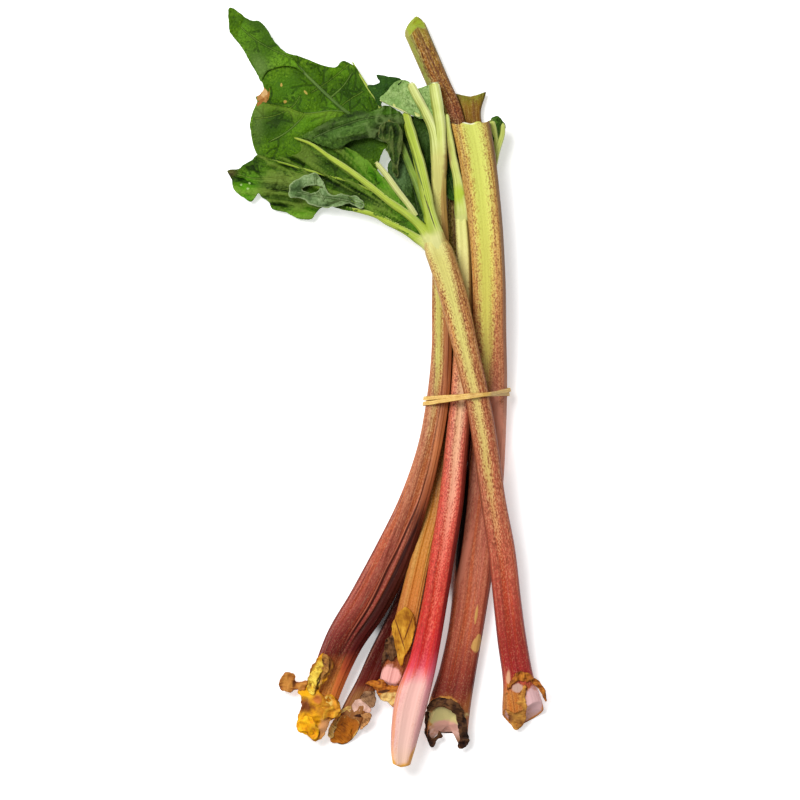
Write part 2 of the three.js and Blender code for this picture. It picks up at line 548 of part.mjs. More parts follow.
// One winding of the band round the bunch. The two windings stray to either side of the
// middle line, change sides where they cross, and there the first rides over the second.
function windingSolid(loop, first) {
  const skin = (along, angle) => {
    const phase = 2 * Math.PI * (along + (first ? 0 : 1));
    const way = (BAND_CROSSING + along + 0.5) % 1;
    const flat = loop.getPointAt(way);
    const run = loop.getTangentAt(way);
    const lift = first ? 2 * BAND_RISE * Math.sin(phase / 2) ** 2 : 0;
    const stray = BAND_SPREAD * Math.cos(phase / 2);
    const outward = new THREE.Vector3(run.z, 0, -run.x).normalize();
    const edge = new THREE.Vector3().crossVectors(outward, run);
    const cos = Math.cos(angle);
    const sin = Math.sin(angle);
    const reach = (Math.abs(cos) ** BAND_POWER + Math.abs(sin) ** BAND_POWER) ** (-1 / BAND_POWER);
    return flat.clone()
      .addScaledVector(outward, lift + (cos * reach * BAND_THICKNESS) / 2)
      .addScaledVector(edge, (sin * reach * BAND_WIDTH) / 2)
      .add(new THREE.Vector3(0, BAND_SLOPE * (flat.x - BAND_X) + BAND_Y + stray, 0));
  };
  return toSolid(tubeOver(skin, BAND_SIDES, BAND_STEPS));
}

function bandSolid(stalks) {
  const girth = bunchGirth(stalks);
  const middle = [BAND_X, BAND_MIDDLE_Z];
  const clearance = BAND_CLEARANCE + BAND_THICKNESS / 2;
  const points = [];
  for (let k = 0; k < BAND_CONTACTS; k += 1) {
    const [x, z] = bandPoint(girth, middle, (2 * Math.PI * k) / BAND_CONTACTS, clearance);
    points.push(new THREE.Vector3(x, 0, z));
  }
  const loop = new THREE.CatmullRomCurve3(points, true, 'centripetal');
  return windingSolid(loop, true).add(windingSolid(loop, false));
}

function largestBody(solid) {
  const bodies = solid.decompose();
  return bodies.reduce((best, body) => (body.volume() > best.volume() ? body : best));
}

// Cuts a piece clear of the stalks it touches.
function clearOf(solid, stalks) {
  const swollen = stalks.map((stalk) => stalkSolid({ ...stalk, swell: PIECE_GAP }));
  return largestBody(swollen.reduce((left, stalk) => left.subtract(stalk), solid));
}

const leftStalk = { stations: leftStations, baseCut: leftBaseCut };
const leafStalk = { stations: leafStations, baseCut: leafBaseCut };
const pinkStalk = { stations: pinkStations, baseCut: pinkBaseCut };
const broadStalk = { stations: broadStations, baseCut: broadBaseCut, topCut: broadTopCut };
const longStalk = { stations: longStations, baseCut: longBaseCut, topCut: longTopCut };
const darkStalk = { stations: darkStations, baseCut: darkBaseCut, topCut: darkTopCut };
const stalks = [leftStalk, leafStalk, pinkStalk, broadStalk, longStalk, darkStalk];

function leafSolid() {
  const ribs = [backRib, midRib, brightRib, oliveRib, lowerRib, cutRib, foldRib, edgeRib, ...sideRibs];
  const onRib = (rib) => rib.map(([x, y, z]) => [x, y, z - RIB_SEAT]);
  const bladeKnown = [midRib, edgeRib, ...sideRibs].flatMap(onRib).concat(bladeMargin);
  const lobeKnown = [brightRib, lowerRib, foldRib].flatMap(onRib).concat(lobeMargin);
  const sheets = [
    sheetSolid({ outline: bladeOutline, known: bladeKnown }),
    sheetSolid({ outline: lobeOutline, known: lobeKnown }),
    sheetSolid({ outline: curlOutline, known: curlHeights }),
    sheetSolid({ outline: paleOutline, known: paleHeights }),
    sheetSolid({ outline: tipOutline, known: tipHeights }),
    sheetSolid({ outline: innerOutline, known: innerHeights }),
  ];
  return clearOf(pressOnTable(fuse([...sheets, ...ribs.map(ribSolid)])), [leafStalk]);
}

function baseSolid(ribs, laminas, touching) {
  const known = ribs.flat().map(([x, y, z]) => [x, y, z]);
  const sheets = laminas.map((outline) => sheetSolid({ outline, known, cell: HEEL_CELL }));
  return clearOf(fuse([...sheets, ...ribs.map(ribSolid)]), touching);
}

function drySheet(outline, known, touching, thickness = BLADE_THICKNESS) {
  return clearOf(sheetSolid({ outline, known, thickness, cell: HEEL_CELL }), touching);
}

function heelSolid() {
  const bulk = sheetSolid({ outline: heelOutline, known: heelHeights, cell: HEEL_CELL, base: 0 });
  return clearOf(bulk, [leftStalk, darkStalk]);
}

function meshOf(name, solid, look) {
  const mesh = new THREE.Mesh(toGeometry(solid), new THREE.MeshStandardMaterial(look));
  mesh.name = name;
  return mesh;
}

const leftLaminas = [paleLamina, betweenLamina, tornLamina];
const underScales = [longStalk, pinkStalk];

const bunch = new THREE.Group();
bunch.add(
  meshOf('left_stalk', pressOnTable(stalkSolid(leftStalk)), leftStalkSkin),
  meshOf('leaf_stalk', pressOnTable(stalkSolid(leafStalk)), leafStalkSkin),
  meshOf('pink_stalk', stalkSolid(pinkStalk), pinkStalkSkin),
  meshOf('broad_stalk', pressOnTable(stalkSolid(broadStalk)), broadStalkSkin),
  meshOf('long_stalk', pressOnTable(stalkSolid(longStalk)), longStalkSkin),
  meshOf('dark_stalk', pressOnTable(stalkSolid(darkStalk)), darkStalkSkin),
  meshOf('leaf_blade', leafSolid(), leafGreen),
  meshOf('left_leaf_base', baseSolid(leftBaseRibs, leftLaminas, [leftStalk]), paleGreen),
  meshOf('pink_leaf_base', baseSolid(pinkBaseRibs, [pinkLamina], [pinkStalk, leftStalk]), paleGreen),
  meshOf('broad_leaf_base', baseSolid(broadBaseRibs, [broadLamina], [broadStalk]), paleGreen),
  meshOf('left_heel', heelSolid(), dryGold),
  meshOf('dry_scale', drySheet(scaleOutline, scaleHeights, underScales), dryGold),
  meshOf('dry_flap', drySheet(flapOutline, flapHeights, underScales, FLAP_THICKNESS), dryBrown),
  meshOf('rubber_band', bandSolid(stalks), bandTan),
);
bunch.position.set(-BUNCH_CENTRE[0], -BUNCH_CENTRE[1], 0);

export default bunch;
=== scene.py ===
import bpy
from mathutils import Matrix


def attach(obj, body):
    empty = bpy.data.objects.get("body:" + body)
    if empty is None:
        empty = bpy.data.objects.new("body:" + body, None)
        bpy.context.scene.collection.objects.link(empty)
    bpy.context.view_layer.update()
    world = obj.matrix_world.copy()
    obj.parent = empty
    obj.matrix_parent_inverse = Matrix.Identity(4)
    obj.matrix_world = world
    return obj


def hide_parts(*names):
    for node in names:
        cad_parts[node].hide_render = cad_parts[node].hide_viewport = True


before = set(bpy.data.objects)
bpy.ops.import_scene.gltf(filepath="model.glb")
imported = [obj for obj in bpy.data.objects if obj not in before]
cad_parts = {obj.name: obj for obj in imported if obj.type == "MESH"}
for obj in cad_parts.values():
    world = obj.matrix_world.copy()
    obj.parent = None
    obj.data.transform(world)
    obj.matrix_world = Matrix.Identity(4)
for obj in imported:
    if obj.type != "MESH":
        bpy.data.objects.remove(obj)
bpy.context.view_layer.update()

import math

import bpy
import numpy as np
from mathutils import Vector
from mathutils.geometry import delaunay_2d_cdt

# The bunch lies on a plain pale table whose top glows faintly as painted light, under a large soft lamp,
# with a second soft lamp low on the left, and is looked at from straight above through a long lens.
scene = bpy.context.scene
scene.view_settings.view_transform = "Standard"
TABLE_SIZE = 6.0
ROOM_LIGHT = 0.33
EYE_X, EYE_Y, EYE_HEIGHT = 0.0102, -0.0093, 2.0
SEEN_WIDTH = 0.56


def show(name, data):
    """An object in the scene, over a mesh, a lamp or a camera."""
    thing = bpy.data.objects.new(name, data)
    scene.collection.objects.link(thing)
    return thing


table_mesh = bpy.data.meshes.new("table")
half = TABLE_SIZE / 2
table_mesh.from_pydata([(-half, -half, 0), (half, -half, 0), (half, half, 0), (-half, half, 0)],
                       [], [(0, 1, 2, 3)])
table = show("table", table_mesh)

room = bpy.data.worlds.new("room")
room.use_nodes = True
room.node_tree.nodes["Background"].inputs["Color"].default_value = (1.0, 1.0, 1.0, 1.0)
room.node_tree.nodes["Background"].inputs["Strength"].default_value = ROOM_LIGHT
scene.world = room


def hang_lamp(name, place, size, watts):
    lamp = bpy.data.lights.new(name, "AREA")
    lamp.size = size
    lamp.energy = watts
    holder = show(name, lamp)
    holder.location = place
    holder.rotation_euler = Vector(place).to_track_quat("Z", "Y").to_euler()


hang_lamp("soft_overhead", (-0.7, 0.75, 1.8), 0.9, 42.0)
hang_lamp("soft_side", (-1.4, -0.5, 1.0), 0.8, 5.0)

lens = bpy.data.cameras.new("eye")
lens.angle = 2 * math.atan(SEEN_WIDTH / 2 / EYE_HEIGHT)
eye = show("eye", lens)
eye.location = (EYE_X, EYE_Y, EYE_HEIGHT)
scene.camera = eye

# The left stalk: olive above, brick red below, turned on its side at the foot so that its flank
# shows, darkened as painted shade, with dark seams painted as crease shade. A stalk is a ribbed
# limb, flat and slightly hollow on its inner face and round behind. Its rows, from the foot up:
# x, y, z, width, depth in millimetres and turn in degrees.
MM = 0.001
BUNCH_CENTRE = (-1.1, 0.9)
BUNCH_LENGTH = 540.0
STALK_SIDES = 144
RING_STEP = 2.0
RIB_COUNTS = (11, 17, 23, 29, 37)
CUT_RINGS = (0.97, 0.92, 0.84, 0.74, 0.62, 0.5, 0.36, 0.2)
LOWEST = 0.06
BUMP_STRENGTH = 0.7


def bend(a, b, c, d, t):
    """The smooth run from b to c, at each t from 0 to 1, between the points beyond them."""
    return (b + 0.5 * t * (c - a) + t * t * (a - 2.5 * b + 2 * c - 0.5 * d)
            + t ** 3 * (1.5 * (b - c) + 0.5 * (d - a)))


def spline(rows, share):
    """The smooth run through the rows, at each share of the way along, 0 to 1."""
    rows = np.asarray(rows, float)
    rows = np.vstack([2 * rows[0] - rows[1], rows, 2 * rows[-1] - rows[-2]])
    reach = np.clip(share, 0, 1) * (len(rows) - 3)
    start = np.minimum(reach.astype(int), len(rows) - 4)
    t = (reach - start)[..., None]
    return bend(*(rows[start + k] for k in range(4)), t)


def run_length(points):
    return np.linalg.norm(np.diff(points, axis=0), axis=1).sum()


def unit(vectors):
    return vectors / np.linalg.norm(vectors, axis=-1, keepdims=True)


def clouds(x, y, cell, seed):
    """Smooth random heights, 0 to 1, that change over about one cell."""
    table = np.random.default_rng(seed).random((64, 64))
    x, y = np.asarray(x) / cell, np.asarray(y) / cell
    column, row = np.floor(x).astype(int), np.floor(y).astype(int)
    s, t = x - column, y - row
    s, t = s * s * (3 - 2 * s), t * t * (3 - 2 * t)
    near = table[column % 64, row % 64] * (1 - s) + table[(column + 1) % 64, row % 64] * s
    over = table[column % 64, (row + 1) % 64] * (1 - s) + table[(column + 1) % 64, (row + 1) % 64] * s
    return near * (1 - t) + over * t


def creases(x, y, cell, seed):
    """Like clouds, but with sharp ridges, as in crumpled paper."""
    return 1 - np.abs(2 * clouds(x, y, cell, seed) - 1)


def stalk_section(angle):
    """Across and rise, -1 to 1, of a stalk's outline: flat and hollow on the face, round behind."""
    cos, sin = np.cos(angle), np.sin(angle)
    power = np.where(sin > 0, 2.9, 2.2)
    reach = (np.abs(cos) ** power + np.abs(sin) ** power) ** (-1 / power)
    hollow = np.where(sin > 0, 0.16 * np.exp(-(cos * reach / 0.42) ** 2), 0)
    return cos * reach, sin * reach - hollow


def mesh_of(name, points, edges, faces, **fields):
    """A mesh over points in the layout's millimetres, with what it knows at each of them."""
    mesh = bpy.data.meshes.new(name)
    mesh.from_pydata(((points - (*BUNCH_CENTRE, 0)) * MM).tolist(), edges, faces)
    for field, values in fields.items():
        values = np.ascontiguousarray(values, np.float32)
        kind, key = ("FLOAT_VECTOR", "vector") if values.ndim == 2 else ("FLOAT", "value")
        mesh.attributes.new(field, kind, "POINT").data.foreach_set(key, values.ravel())
    return mesh


def plain_piece(name, points, faces, finish, **fields):
    """A smooth piece in its finish, kept off the table by a hair."""
    points = np.array(points, float)
    points[:, 2] = np.maximum(points[:, 2], LOWEST)
    mesh = mesh_of(name, points, [], faces, **fields)
    mesh.shade_smooth()
    mesh.materials.append(finish)
    return show(name, mesh)


def give_to_bunch(piece, slot, *nodes):
    """The piece lies with the bunch and stands for nodes of the solid model, if it has any."""
    if nodes:
        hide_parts(*nodes)
    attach(piece, "root")


def grow_stalk(name, stations, finish, base_cut, top_cut, relief, dish, seed, keels=()):
    """A closed ribbed limb through its stations. Each end is cut across and a little dished."""
    draw = np.random.default_rng(seed)
    stations = np.array([tuple(row) + (0,) * (6 - len(row)) for row in stations], float)
    length = run_length(stations[:, :3])
    along = np.linspace(0, 1, int(length / RING_STEP) + 2)[:, None]
    angle = np.linspace(0, 2 * math.pi, STALK_SIDES, endpoint=False)[None, :]
    across, rise = stalk_section(angle)
    share = along + base_cut(across, rise) / length * (1 - along) ** 5
    share = np.clip(share - top_cut(across, rise) / length * along ** 5, 0, 1)
    middle = spline(stations[:, :3], share)
    width, depth, turn = np.moveaxis(spline(stations[:, 3:], share), -1, 0)
    run = unit(spline(stations[:, :3], share + 1e-3) - spline(stations[:, :3], share - 1e-3))
    side = unit(np.cross(run, (0, 0, 1)))
    face = np.cross(side, run)
    turn = np.radians(turn)[..., None]
    side, face = side * np.cos(turn) + face * np.sin(turn), face * np.cos(turn) - side * np.sin(turn)
    ridge = 0
    for count in RIB_COUNTS:
        drift = draw.uniform(0, 6.3) + 0.5 * np.sin(along * draw.uniform(4, 12) + draw.uniform(0, 6.3))
        ridge = ridge + draw.uniform(0.5, 1) * np.cos(count * angle + drift)
    swell = 1 + relief * ridge / 2 + 0.02 * (clouds(angle / 0.35, along * length, 28, seed + 1) - 0.5)
    for where, height, spread in keels:
        swell = swell + height * np.exp(-((angle - where) / spread) ** 2)
    skin = (middle + side * (across * swell * width / 2)[..., None]
            + face * (rise * swell * depth / 2)[..., None])
    straight = np.stack([across * width / 2, rise * depth / 2, share * length], -1)
    place = np.stack(np.broadcast_arrays(across, 0 * share, rise), -1)
    rings = len(along)
    column = np.arange(STALK_SIDES)
    faces = []
    for ring in range(rings - 1):
        here, over = ring * STALK_SIDES, (ring + 1) * STALK_SIDES
        faces += np.stack([here + column, over + column, over + np.roll(column, -1),
                           here + np.roll(column, -1)], -1).tolist()
    points, straights, places = [skin.reshape(-1, 3)], [straight.reshape(-1, 3)], [place.reshape(-1, 3)]
    count = rings * STALK_SIDES
    for end, within, sunk in ((0, 5, dish[0]), (rings - 1, rings - 6, dish[1])):
        rim = skin[end]
        centre = rim.mean(0)
        inward = unit(skin[within].mean(0) - centre)
        previous = end * STALK_SIDES + column
        for left in CUT_RINGS:
            spot = centre + (rim - centre) * left
            rough = 0.7 * (clouds(spot[:, 0], spot[:, 1] + spot[:, 2], 1.6, seed + 2) - 0.5)
            points.append(spot + inward * (sunk * (1 - left ** 2) + rough * (1 - left))[:, None])
            straights.append(straight[end] * (left, left, 1))
            places.append(place[end] * (1, 0, 1) + (0, 1 - left, 0))
            current = count + column
            quads = np.stack([previous, current, np.roll(current, -1), np.roll(previous, -1)], -1)
            faces += (quads if end else quads[:, ::-1]).tolist()
            previous = current
            count += STALK_SIDES
        points.append((centre + inward * sunk)[None])
        straights.append(straight[end].mean(0)[None])
        places.append(np.array([[0, 1, 0]]))
        fan = np.stack([previous, np.full(STALK_SIDES, count), np.roll(previous, -1)], -1)
        faces += (fan if end else fan[:, ::-1]).tolist()
        count += 1
    stalk = plain_piece(name + "_skin", np.vstack(points), faces, finish,
                        straight=np.vstack(straights), place=np.vstack(places))
    give_to_bunch(stalk, name + "_skin", name)
    return stalk


def tone(red, green, blue):
    """A colour as the eye reads it, 0 to 255, as the light that a finish wants."""
    return tuple(((c / 255 + 0.055) / 1.055) ** 2.4 for c in (red, green, blue)) + (1.0,)


class Wire:
    """A number, colour or vector running through a finish. Its sums add the nodes they need."""

    def __init__(self, tree, socket):
        self.tree = tree
        self.socket = socket

    def node(self, kind, settings, sockets, output=0):
        """What another kind of node makes, with its settings, stops and sockets."""
        node = self.tree.nodes.new(kind)
        for name, value in settings.items():
            if name == "stops":
                stops = node.color_ramp.elements
                stops.remove(stops[1])
                stops[0].position, stops[0].color = value[0]
                for position, colour in value[1:]:
                    stops.new(position).color = colour
            else:
                setattr(node, name, value)
        for name, value in sockets.items():
            if isinstance(value, Wire):
                self.tree.links.new(value.socket, node.inputs[name])
            else:
                node.inputs[name].default_value = value
        return Wire(self.tree, node.outputs[output])

    def sums(self, operation, first, second=0.0):
        return self.node("ShaderNodeMath", {"operation": operation}, {0: first, 1: second})

    def __add__(self, other):
        return self.sums("ADD", self, other)

    def __sub__(self, other):
        return self.sums("SUBTRACT", self, other)

    def __rsub__(self, other):
        return self.sums("SUBTRACT", other, self)

    def __mul__(self, other):
        return self.sums("MULTIPLY", self, other)

    def __truediv__(self, other):
        return self.sums("DIVIDE", self, other)

    def __pow__(self, other):
        return self.sums("POWER", self, other)

    __radd__ = __add__
    __rmul__ = __mul__

    def size(self):
        return self.sums("ABSOLUTE", self)

    def fade(self, low, high):
        """0 at low and 1 at high, smooth between and level beyond."""
        return self.node("ShaderNodeMapRange", {"interpolation_type": "SMOOTHSTEP"},
                         {0: self, 1: low, 2: high})

    def run(self, stops):
        return self.node("ShaderNodeValToRGB", {"stops": stops}, {0: self})

    def ramp(self, rows):
        """The colour at this number, from rows of a number and its red, green and blue."""
        return self.run([(at, tone(*colour)) for at, *colour in rows])

    def part(self, which):
        return self.node("ShaderNodeSeparateXYZ", {}, {0: self}, which)

    def scaled(self, *sizes):
        return self.node("ShaderNodeVectorMath", {"operation": "MULTIPLY"}, {0: self, 1: sizes})

    def dot(self, *direction):
        return self.node("ShaderNodeVectorMath", {"operation": "DOT_PRODUCT"}, {0: self, 1: direction}, 1)

    def noise(self, scale, detail=3.0, roughness=0.5):
        return self.node("ShaderNodeTexNoise", {},
                         {"Vector": self, "Scale": scale, "Detail": detail, "Roughness": roughness})

    def mix(self, way, other, factor):
        other = other if isinstance(other, Wire) else tone(*other)
        return self.node("ShaderNodeMix", {"data_type": "RGBA", "blend_type": way},
                         {0: factor, 6: self, 7: other}, 2)

    def blend(self, other, factor):
        """This colour turning into the other as the factor goes from 0 to 1."""
        return self.mix("MIX", other, factor)

    def times(self, other, factor):
        """This colour darkened by the other, more as the factor goes from 0 to 1."""
        return self.mix("MULTIPLY", other, factor)


class Finish:
    """A finish of its own for a piece, which reads what the piece knows at each point."""

    def __init__(self, name):
        self.material = bpy.data.materials.new(name)
        self.material.use_nodes = True
        self.tree = self.material.node_tree
        self.gloss = self.tree.nodes["Principled BSDF"]
        texture_space = self.tree.nodes.new("ShaderNodeTexCoord")
        self.spot = Wire(self.tree, texture_space.outputs["Object"])

    def field(self, name, output="Vector"):
        node = self.tree.nodes.new("ShaderNodeAttribute")
        node.attribute_name = name
        return Wire(self.tree, node.outputs[output])

    def along(self, stops):
        """Light by the place along the bunch, from stops of y in the layout's millimetres."""
        foot = (BUNCH_CENTRE[1] + BUNCH_LENGTH / 2) / BUNCH_LENGTH
        share = self.spot.part(1) * (1000 / BUNCH_LENGTH) + foot
        stops = sorted(stops)
        if len(stops) == 1:
            stops = [stops[0], (stops[0][0] + 1, stops[0][1])]
        return share.run([(0.5 + y / BUNCH_LENGTH, colour) for y, colour in stops])

    def level(self, rows):
        """A colour by the place along the bunch: rows of y and the red, green and blue there."""
        return self.along([(y, tone(*colour)) for y, *colour in rows])

    def amount(self, rows):
        """A number by the place along the bunch: rows of y and the number there."""
        return (self.along([(y, grey(value / 2 + 0.25)) for y, value in rows]) - 0.25) * 2

    def blot(self, colour, tint, x, y, reach, turn=0.0, ragged=0.5, soft=0.25, grain=230.0):
        """A ragged blot of another colour, of a reach along and across its turn in degrees."""
        cos, sin = math.cos(math.radians(turn)), math.sin(math.radians(turn))
        x, y = x - BUNCH_CENTRE[0], y - BUNCH_CENTRE[1]
        along = (self.spot.dot(1000 * cos, 1000 * sin, 0) - (x * cos + y * sin)) / reach[0]
        across = (self.spot.dot(-1000 * sin, 1000 * cos, 0) - (y * cos - x * sin)) / reach[1]
        far = (along * along + across * across) ** 0.5
        far = far + (self.spot.noise(grain, 3.0) - 0.5) * ragged * 2
        return colour.blend(tint, far.fade(1 + soft / 2, 1 - soft / 2))

    def blots(self, colour, rows, *shared):
        """A blot for each row of tint, x, y, reach, turn and, at need, its own softness."""
        for tint, x, y, reach, turn, *own in rows:
            colour = self.blot(colour, tint, x, y, reach, turn, *shared, *own)
        return colour

    def feed(self, colour, roughness, relief, depth, sheen=0.5):
        """Wires the colour, the roughness and a relief of a depth in metres to the surface."""
        self.gloss.inputs["Specular IOR Level"].default_value = sheen
        self.tree.links.new(colour.socket, self.gloss.inputs["Base Color"])
        self.tree.links.new(roughness.socket, self.gloss.inputs["Roughness"])
        bump = relief.node("ShaderNodeBump", {}, {"Height": relief, "Strength": BUMP_STRENGTH,
                                                  "Distance": depth})
        self.tree.links.new(bump.socket, self.gloss.inputs["Normal"])
        return self.material


def grey(value):
    return (value, value, value, 1.0)


def skin_finish(name, stripe, red, flank_with_painted_shade, widths, specks, centre=0.0, speck=(124, 66, 40),
                painted_shade_from=0.8, lean=0.0, flesh=((0, 232, 196, 172),),
                rim=((0, 150, 92, 36),), streaks=((0, 0.5),), sway=((0, 0.0),), sheen=0.16,
                crease_lines_with_painted_shade=(), blots=()):
    """The waxy skin of a stalk: a green stripe down its face that turns through dots into the
    red shoulders, flanks in their own tones darkened as painted shade, most on the side turned
    from the lamp and underneath, a painted highlight along the flank's edge, fine lines along it,
    dark seams painted as crease shade, and flesh at the cut ends."""
    finish = Finish(name)
    straight = finish.field("straight")
    place = finish.field("place")
    across, cut, rise = place.part(0), place.part(1), place.part(2)
    dots = straight.scaled(1.15, 1.15, 0.75).noise(1.0, 2.0, 0.6)
    lines = straight.scaled(1.7, 1.7, 0.025).noise(1.0, 4.0, 0.7)
    broad_lines = straight.scaled(0.6, 0.6, 0.012).noise(1.0, 3.0, 0.55)
    mottle = straight.scaled(0.3, 0.3, 0.07).noise(1.0, 4.0, 0.6)
    bands = straight.scaled(0.3, 0.3, 0.006).noise(1.0, 2.0, 0.5)
    specks = finish.amount(specks)
    streaks = finish.amount(streaks)
    off = (across - centre - finish.amount(sway)).size() - finish.amount(widths)
    redness = off / 0.5 + 0.5 + (dots - 0.5) * 1.7 + (mottle - 0.5) * 0.8
    reddish = (off / 0.3).fade(-1.3, 0.4)
    shoulder = finish.level(red).times((255, 214, 150), bands.fade(0.5, 0.6) * 0.7)
    shoulder = shoulder.times((236, 200, 206), bands.fade(0.48, 0.38) * 0.6)
    colour = finish.level(stripe).blend(shoulder, redness.fade(0.0, 1.0))
    freckles = dots.fade(0.52, 0.59) * (reddish * 0.86 + 0.14) * mottle.fade(0.22, 0.42)
    colour = colour.blend(speck, freckles * specks * 0.9)
    colour = colour.blend((236, 204, 146), dots.fade(0.46, 0.38) * reddish * specks * 0.28)
    # Painted shade: the flanks take their darker tones, shifted by lean to the side away from the lamp, and
    # the round back underneath darkens too.
    outer = (across + lean).size() + (lines - 0.5) * 0.2
    dark = outer.fade(painted_shade_from, painted_shade_from + 0.16)
    colour = colour.blend(finish.level(flank_with_painted_shade), dark * 0.9)
    colour = colour.blend(finish.level(flank_with_painted_shade), rise.fade(0.15, -0.4) * 0.8)
    # Painted highlight: a pale line along the edge where the shaded flank begins.
    ridge = (outer - (painted_shade_from - 0.03)).size().fade(0.045, 0.01) * mottle.fade(0.4, 0.65)
    colour = colour.blend((232, 186, 140), ridge * 0.35 * streaks)
    colour = colour.times((150, 112, 96), lines.fade(0.46, 0.34) * streaks * (reddish * 0.6 + 0.4))
    colour = colour.times((176, 140, 122), broad_lines.fade(0.47, 0.36) * streaks * (reddish * 0.7 + 0.3))
    colour = colour.blend((248, 208, 170), lines.fade(0.6, 0.72) * 0.25 * streaks)
    # Seam lines of a tint along paths across the stalk; the dark ones are painted shade in the creases.
    for path, strength, reach, tint in crease_lines_with_painted_shade:
        beside = (across - finish.amount(path) + (lines - 0.5) * 0.08).size()
        colour = colour.blend(tint, beside.fade(reach, reach * 0.3) * finish.amount(strength))
    patches = finish.spot.noise(170.0, 4.0, 0.6)
    grain = finish.spot.noise(1100.0, 2.0, 0.5)
    meat = finish.level(flesh)
    meat = meat.times((215, 170, 140), patches.fade(0.5, 0.7) * 0.6)
    meat = meat.times((205, 176, 150), grain.fade(0.52, 0.68) * 0.4)
    edge_tone = finish.level(rim)
    edge_tone = edge_tone.times((150, 110, 80), patches.fade(0.45, 0.6) * 0.8)
    inside = (cut + (patches - 0.5) * 0.3).fade(0.06, 0.16)
    on_cut = (cut + (patches - 0.5) * 0.03).fade(0.005, 0.03)
    colour = colour.blend(edge_tone.blend(meat, inside), on_cut)
    colour = finish.blots(colour, blots, 0.5)
    relief = (lines * (streaks * 0.9 + 0.1) + dots * 0.4) * (1 - on_cut) + grain * 0.1
    shine = 0.34 + mottle * 0.14 + (dots - 0.5) * 0.3 + on_cut * 0.2
    return finish.feed(colour, shine, relief, depth=0.0005, sheen=sheen)


LEFT_STATIONS = [
    (-48, -232, 9, 17, 12, -18), (-42, -206, 10.5, 22, 15, -20), (-29.9, -175.5, 13, 25.4, 18, -22),
    (-12, -147, 16.5, 28.4, 17.5, -24), (5.2, -112.5, 20, 25.8, 16, -22),
    (18.8, -77.5, 24.2, 19.2, 14, -15), (29, -43, 24, 16, 13, -8), (35.2, -8.5, 21.8, 15, 12.5, -5),
    (38, 26, 21, 14, 12, 0), (38, 61, 20.5, 13.5, 11.5, 0), (37.5, 95.5, 20, 12, 11, 0),
    (36, 130, 20, 10.5, 10, 0), (36, 158, 21, 10.2, 9.4, 0), (36, 166, 21, 7.5, 7, 0)]
left_finish = skin_finish(
    "left_stalk_skin",
    stripe=[(170, 216, 214, 130), (110, 206, 200, 110), (60, 198, 190, 98), (20, 204, 196, 104),
            (-10, 204, 168, 106), (-50, 190, 132, 88), (-90, 186, 116, 82)],
    red=[(170, 206, 206, 124), (148, 194, 184, 104), (120, 184, 152, 84), (80, 176, 138, 78),
         (50, 178, 124, 74), (0, 178, 116, 76), (-60, 180, 110, 74), (-110, 174, 90, 72),
         (-150, 160, 72, 60), (-172, 118, 34, 32), (-184, 108, 32, 30), (-191, 178, 100, 44),
         (-203, 216, 138, 60), (-214, 222, 146, 64)],
    flank_with_painted_shade=[(162, 196, 190, 106), (135, 158, 128, 64), (60, 150, 96, 52), (20, 150, 84, 46),
           (-40, 186, 110, 62), (-76, 152, 80, 46), (-100, 78, 28, 18), (-150, 44, 8, 6),
           (-182, 84, 16, 14), (-194, 170, 68, 40), (-204, 204, 102, 50), (-214, 212, 116, 52)],
    widths=[(165, 1), (140, 0.7), (100, 0.36), (20, 0.32), (-8, 0.2), (-36, 0.05), (-75, -0.4)],
    specks=[(165, 0), (140, 0.5), (100, 0.8), (0, 0.6), (-150, 0.4)],
    centre=-0.34, painted_shade_from=0.72, lean=0.5, flesh=[(-232, 226, 170, 90), (165, 206, 208, 126)],
    rim=[(-232, 160, 100, 40), (165, 206, 208, 126)],
    streaks=[(165, 0.1), (110, 0.5), (-160, 0.8), (-186, 0.7), (-198, 0.2)],
    # The first and last seams are dark lines painted as shade in the creases down the foot.
    crease_lines_with_painted_shade=[([(-50, 0.25), (-75, 0.22), (-100, 0), (-125, -0.14), (-150, -0.07), (-170, -0.03)],
            [(-40, 0), (-66, 0.85), (-168, 0.95), (-184, 0)], 0.1, (56, 16, 10)),
           ([(-50, 0.14), (-75, 0.11), (-100, -0.11), (-125, -0.25), (-150, -0.18), (-170, -0.14)],
            [(-60, 0), (-90, 0.5), (-150, 0.6), (-180, 0)], 0.05, (226, 138, 108)),
           ([(-80, 0.62), (-97, 0.5), (-111, 0.36), (-148, 0.27)],
            [(-70, 0), (-96, 0.85), (-168, 0.9), (-182, 0)], 0.13, (40, 10, 6))])
left_stalk = grow_stalk(
    "left_stalk", LEFT_STATIONS, left_finish, seed=3, relief=0.024, dish=(1.6, -3.5),
    base_cut=lambda across, rise: 3 + 2 * rise + np.cos(3 * across),
    top_cut=lambda across, rise: 5 + 5 * rise,
    keels=[(0.62, 0.05, 0.14), (1.02, 0.03, 0.09), (1.3, -0.05, 0.05), (1.42, 0.025, 0.07)])

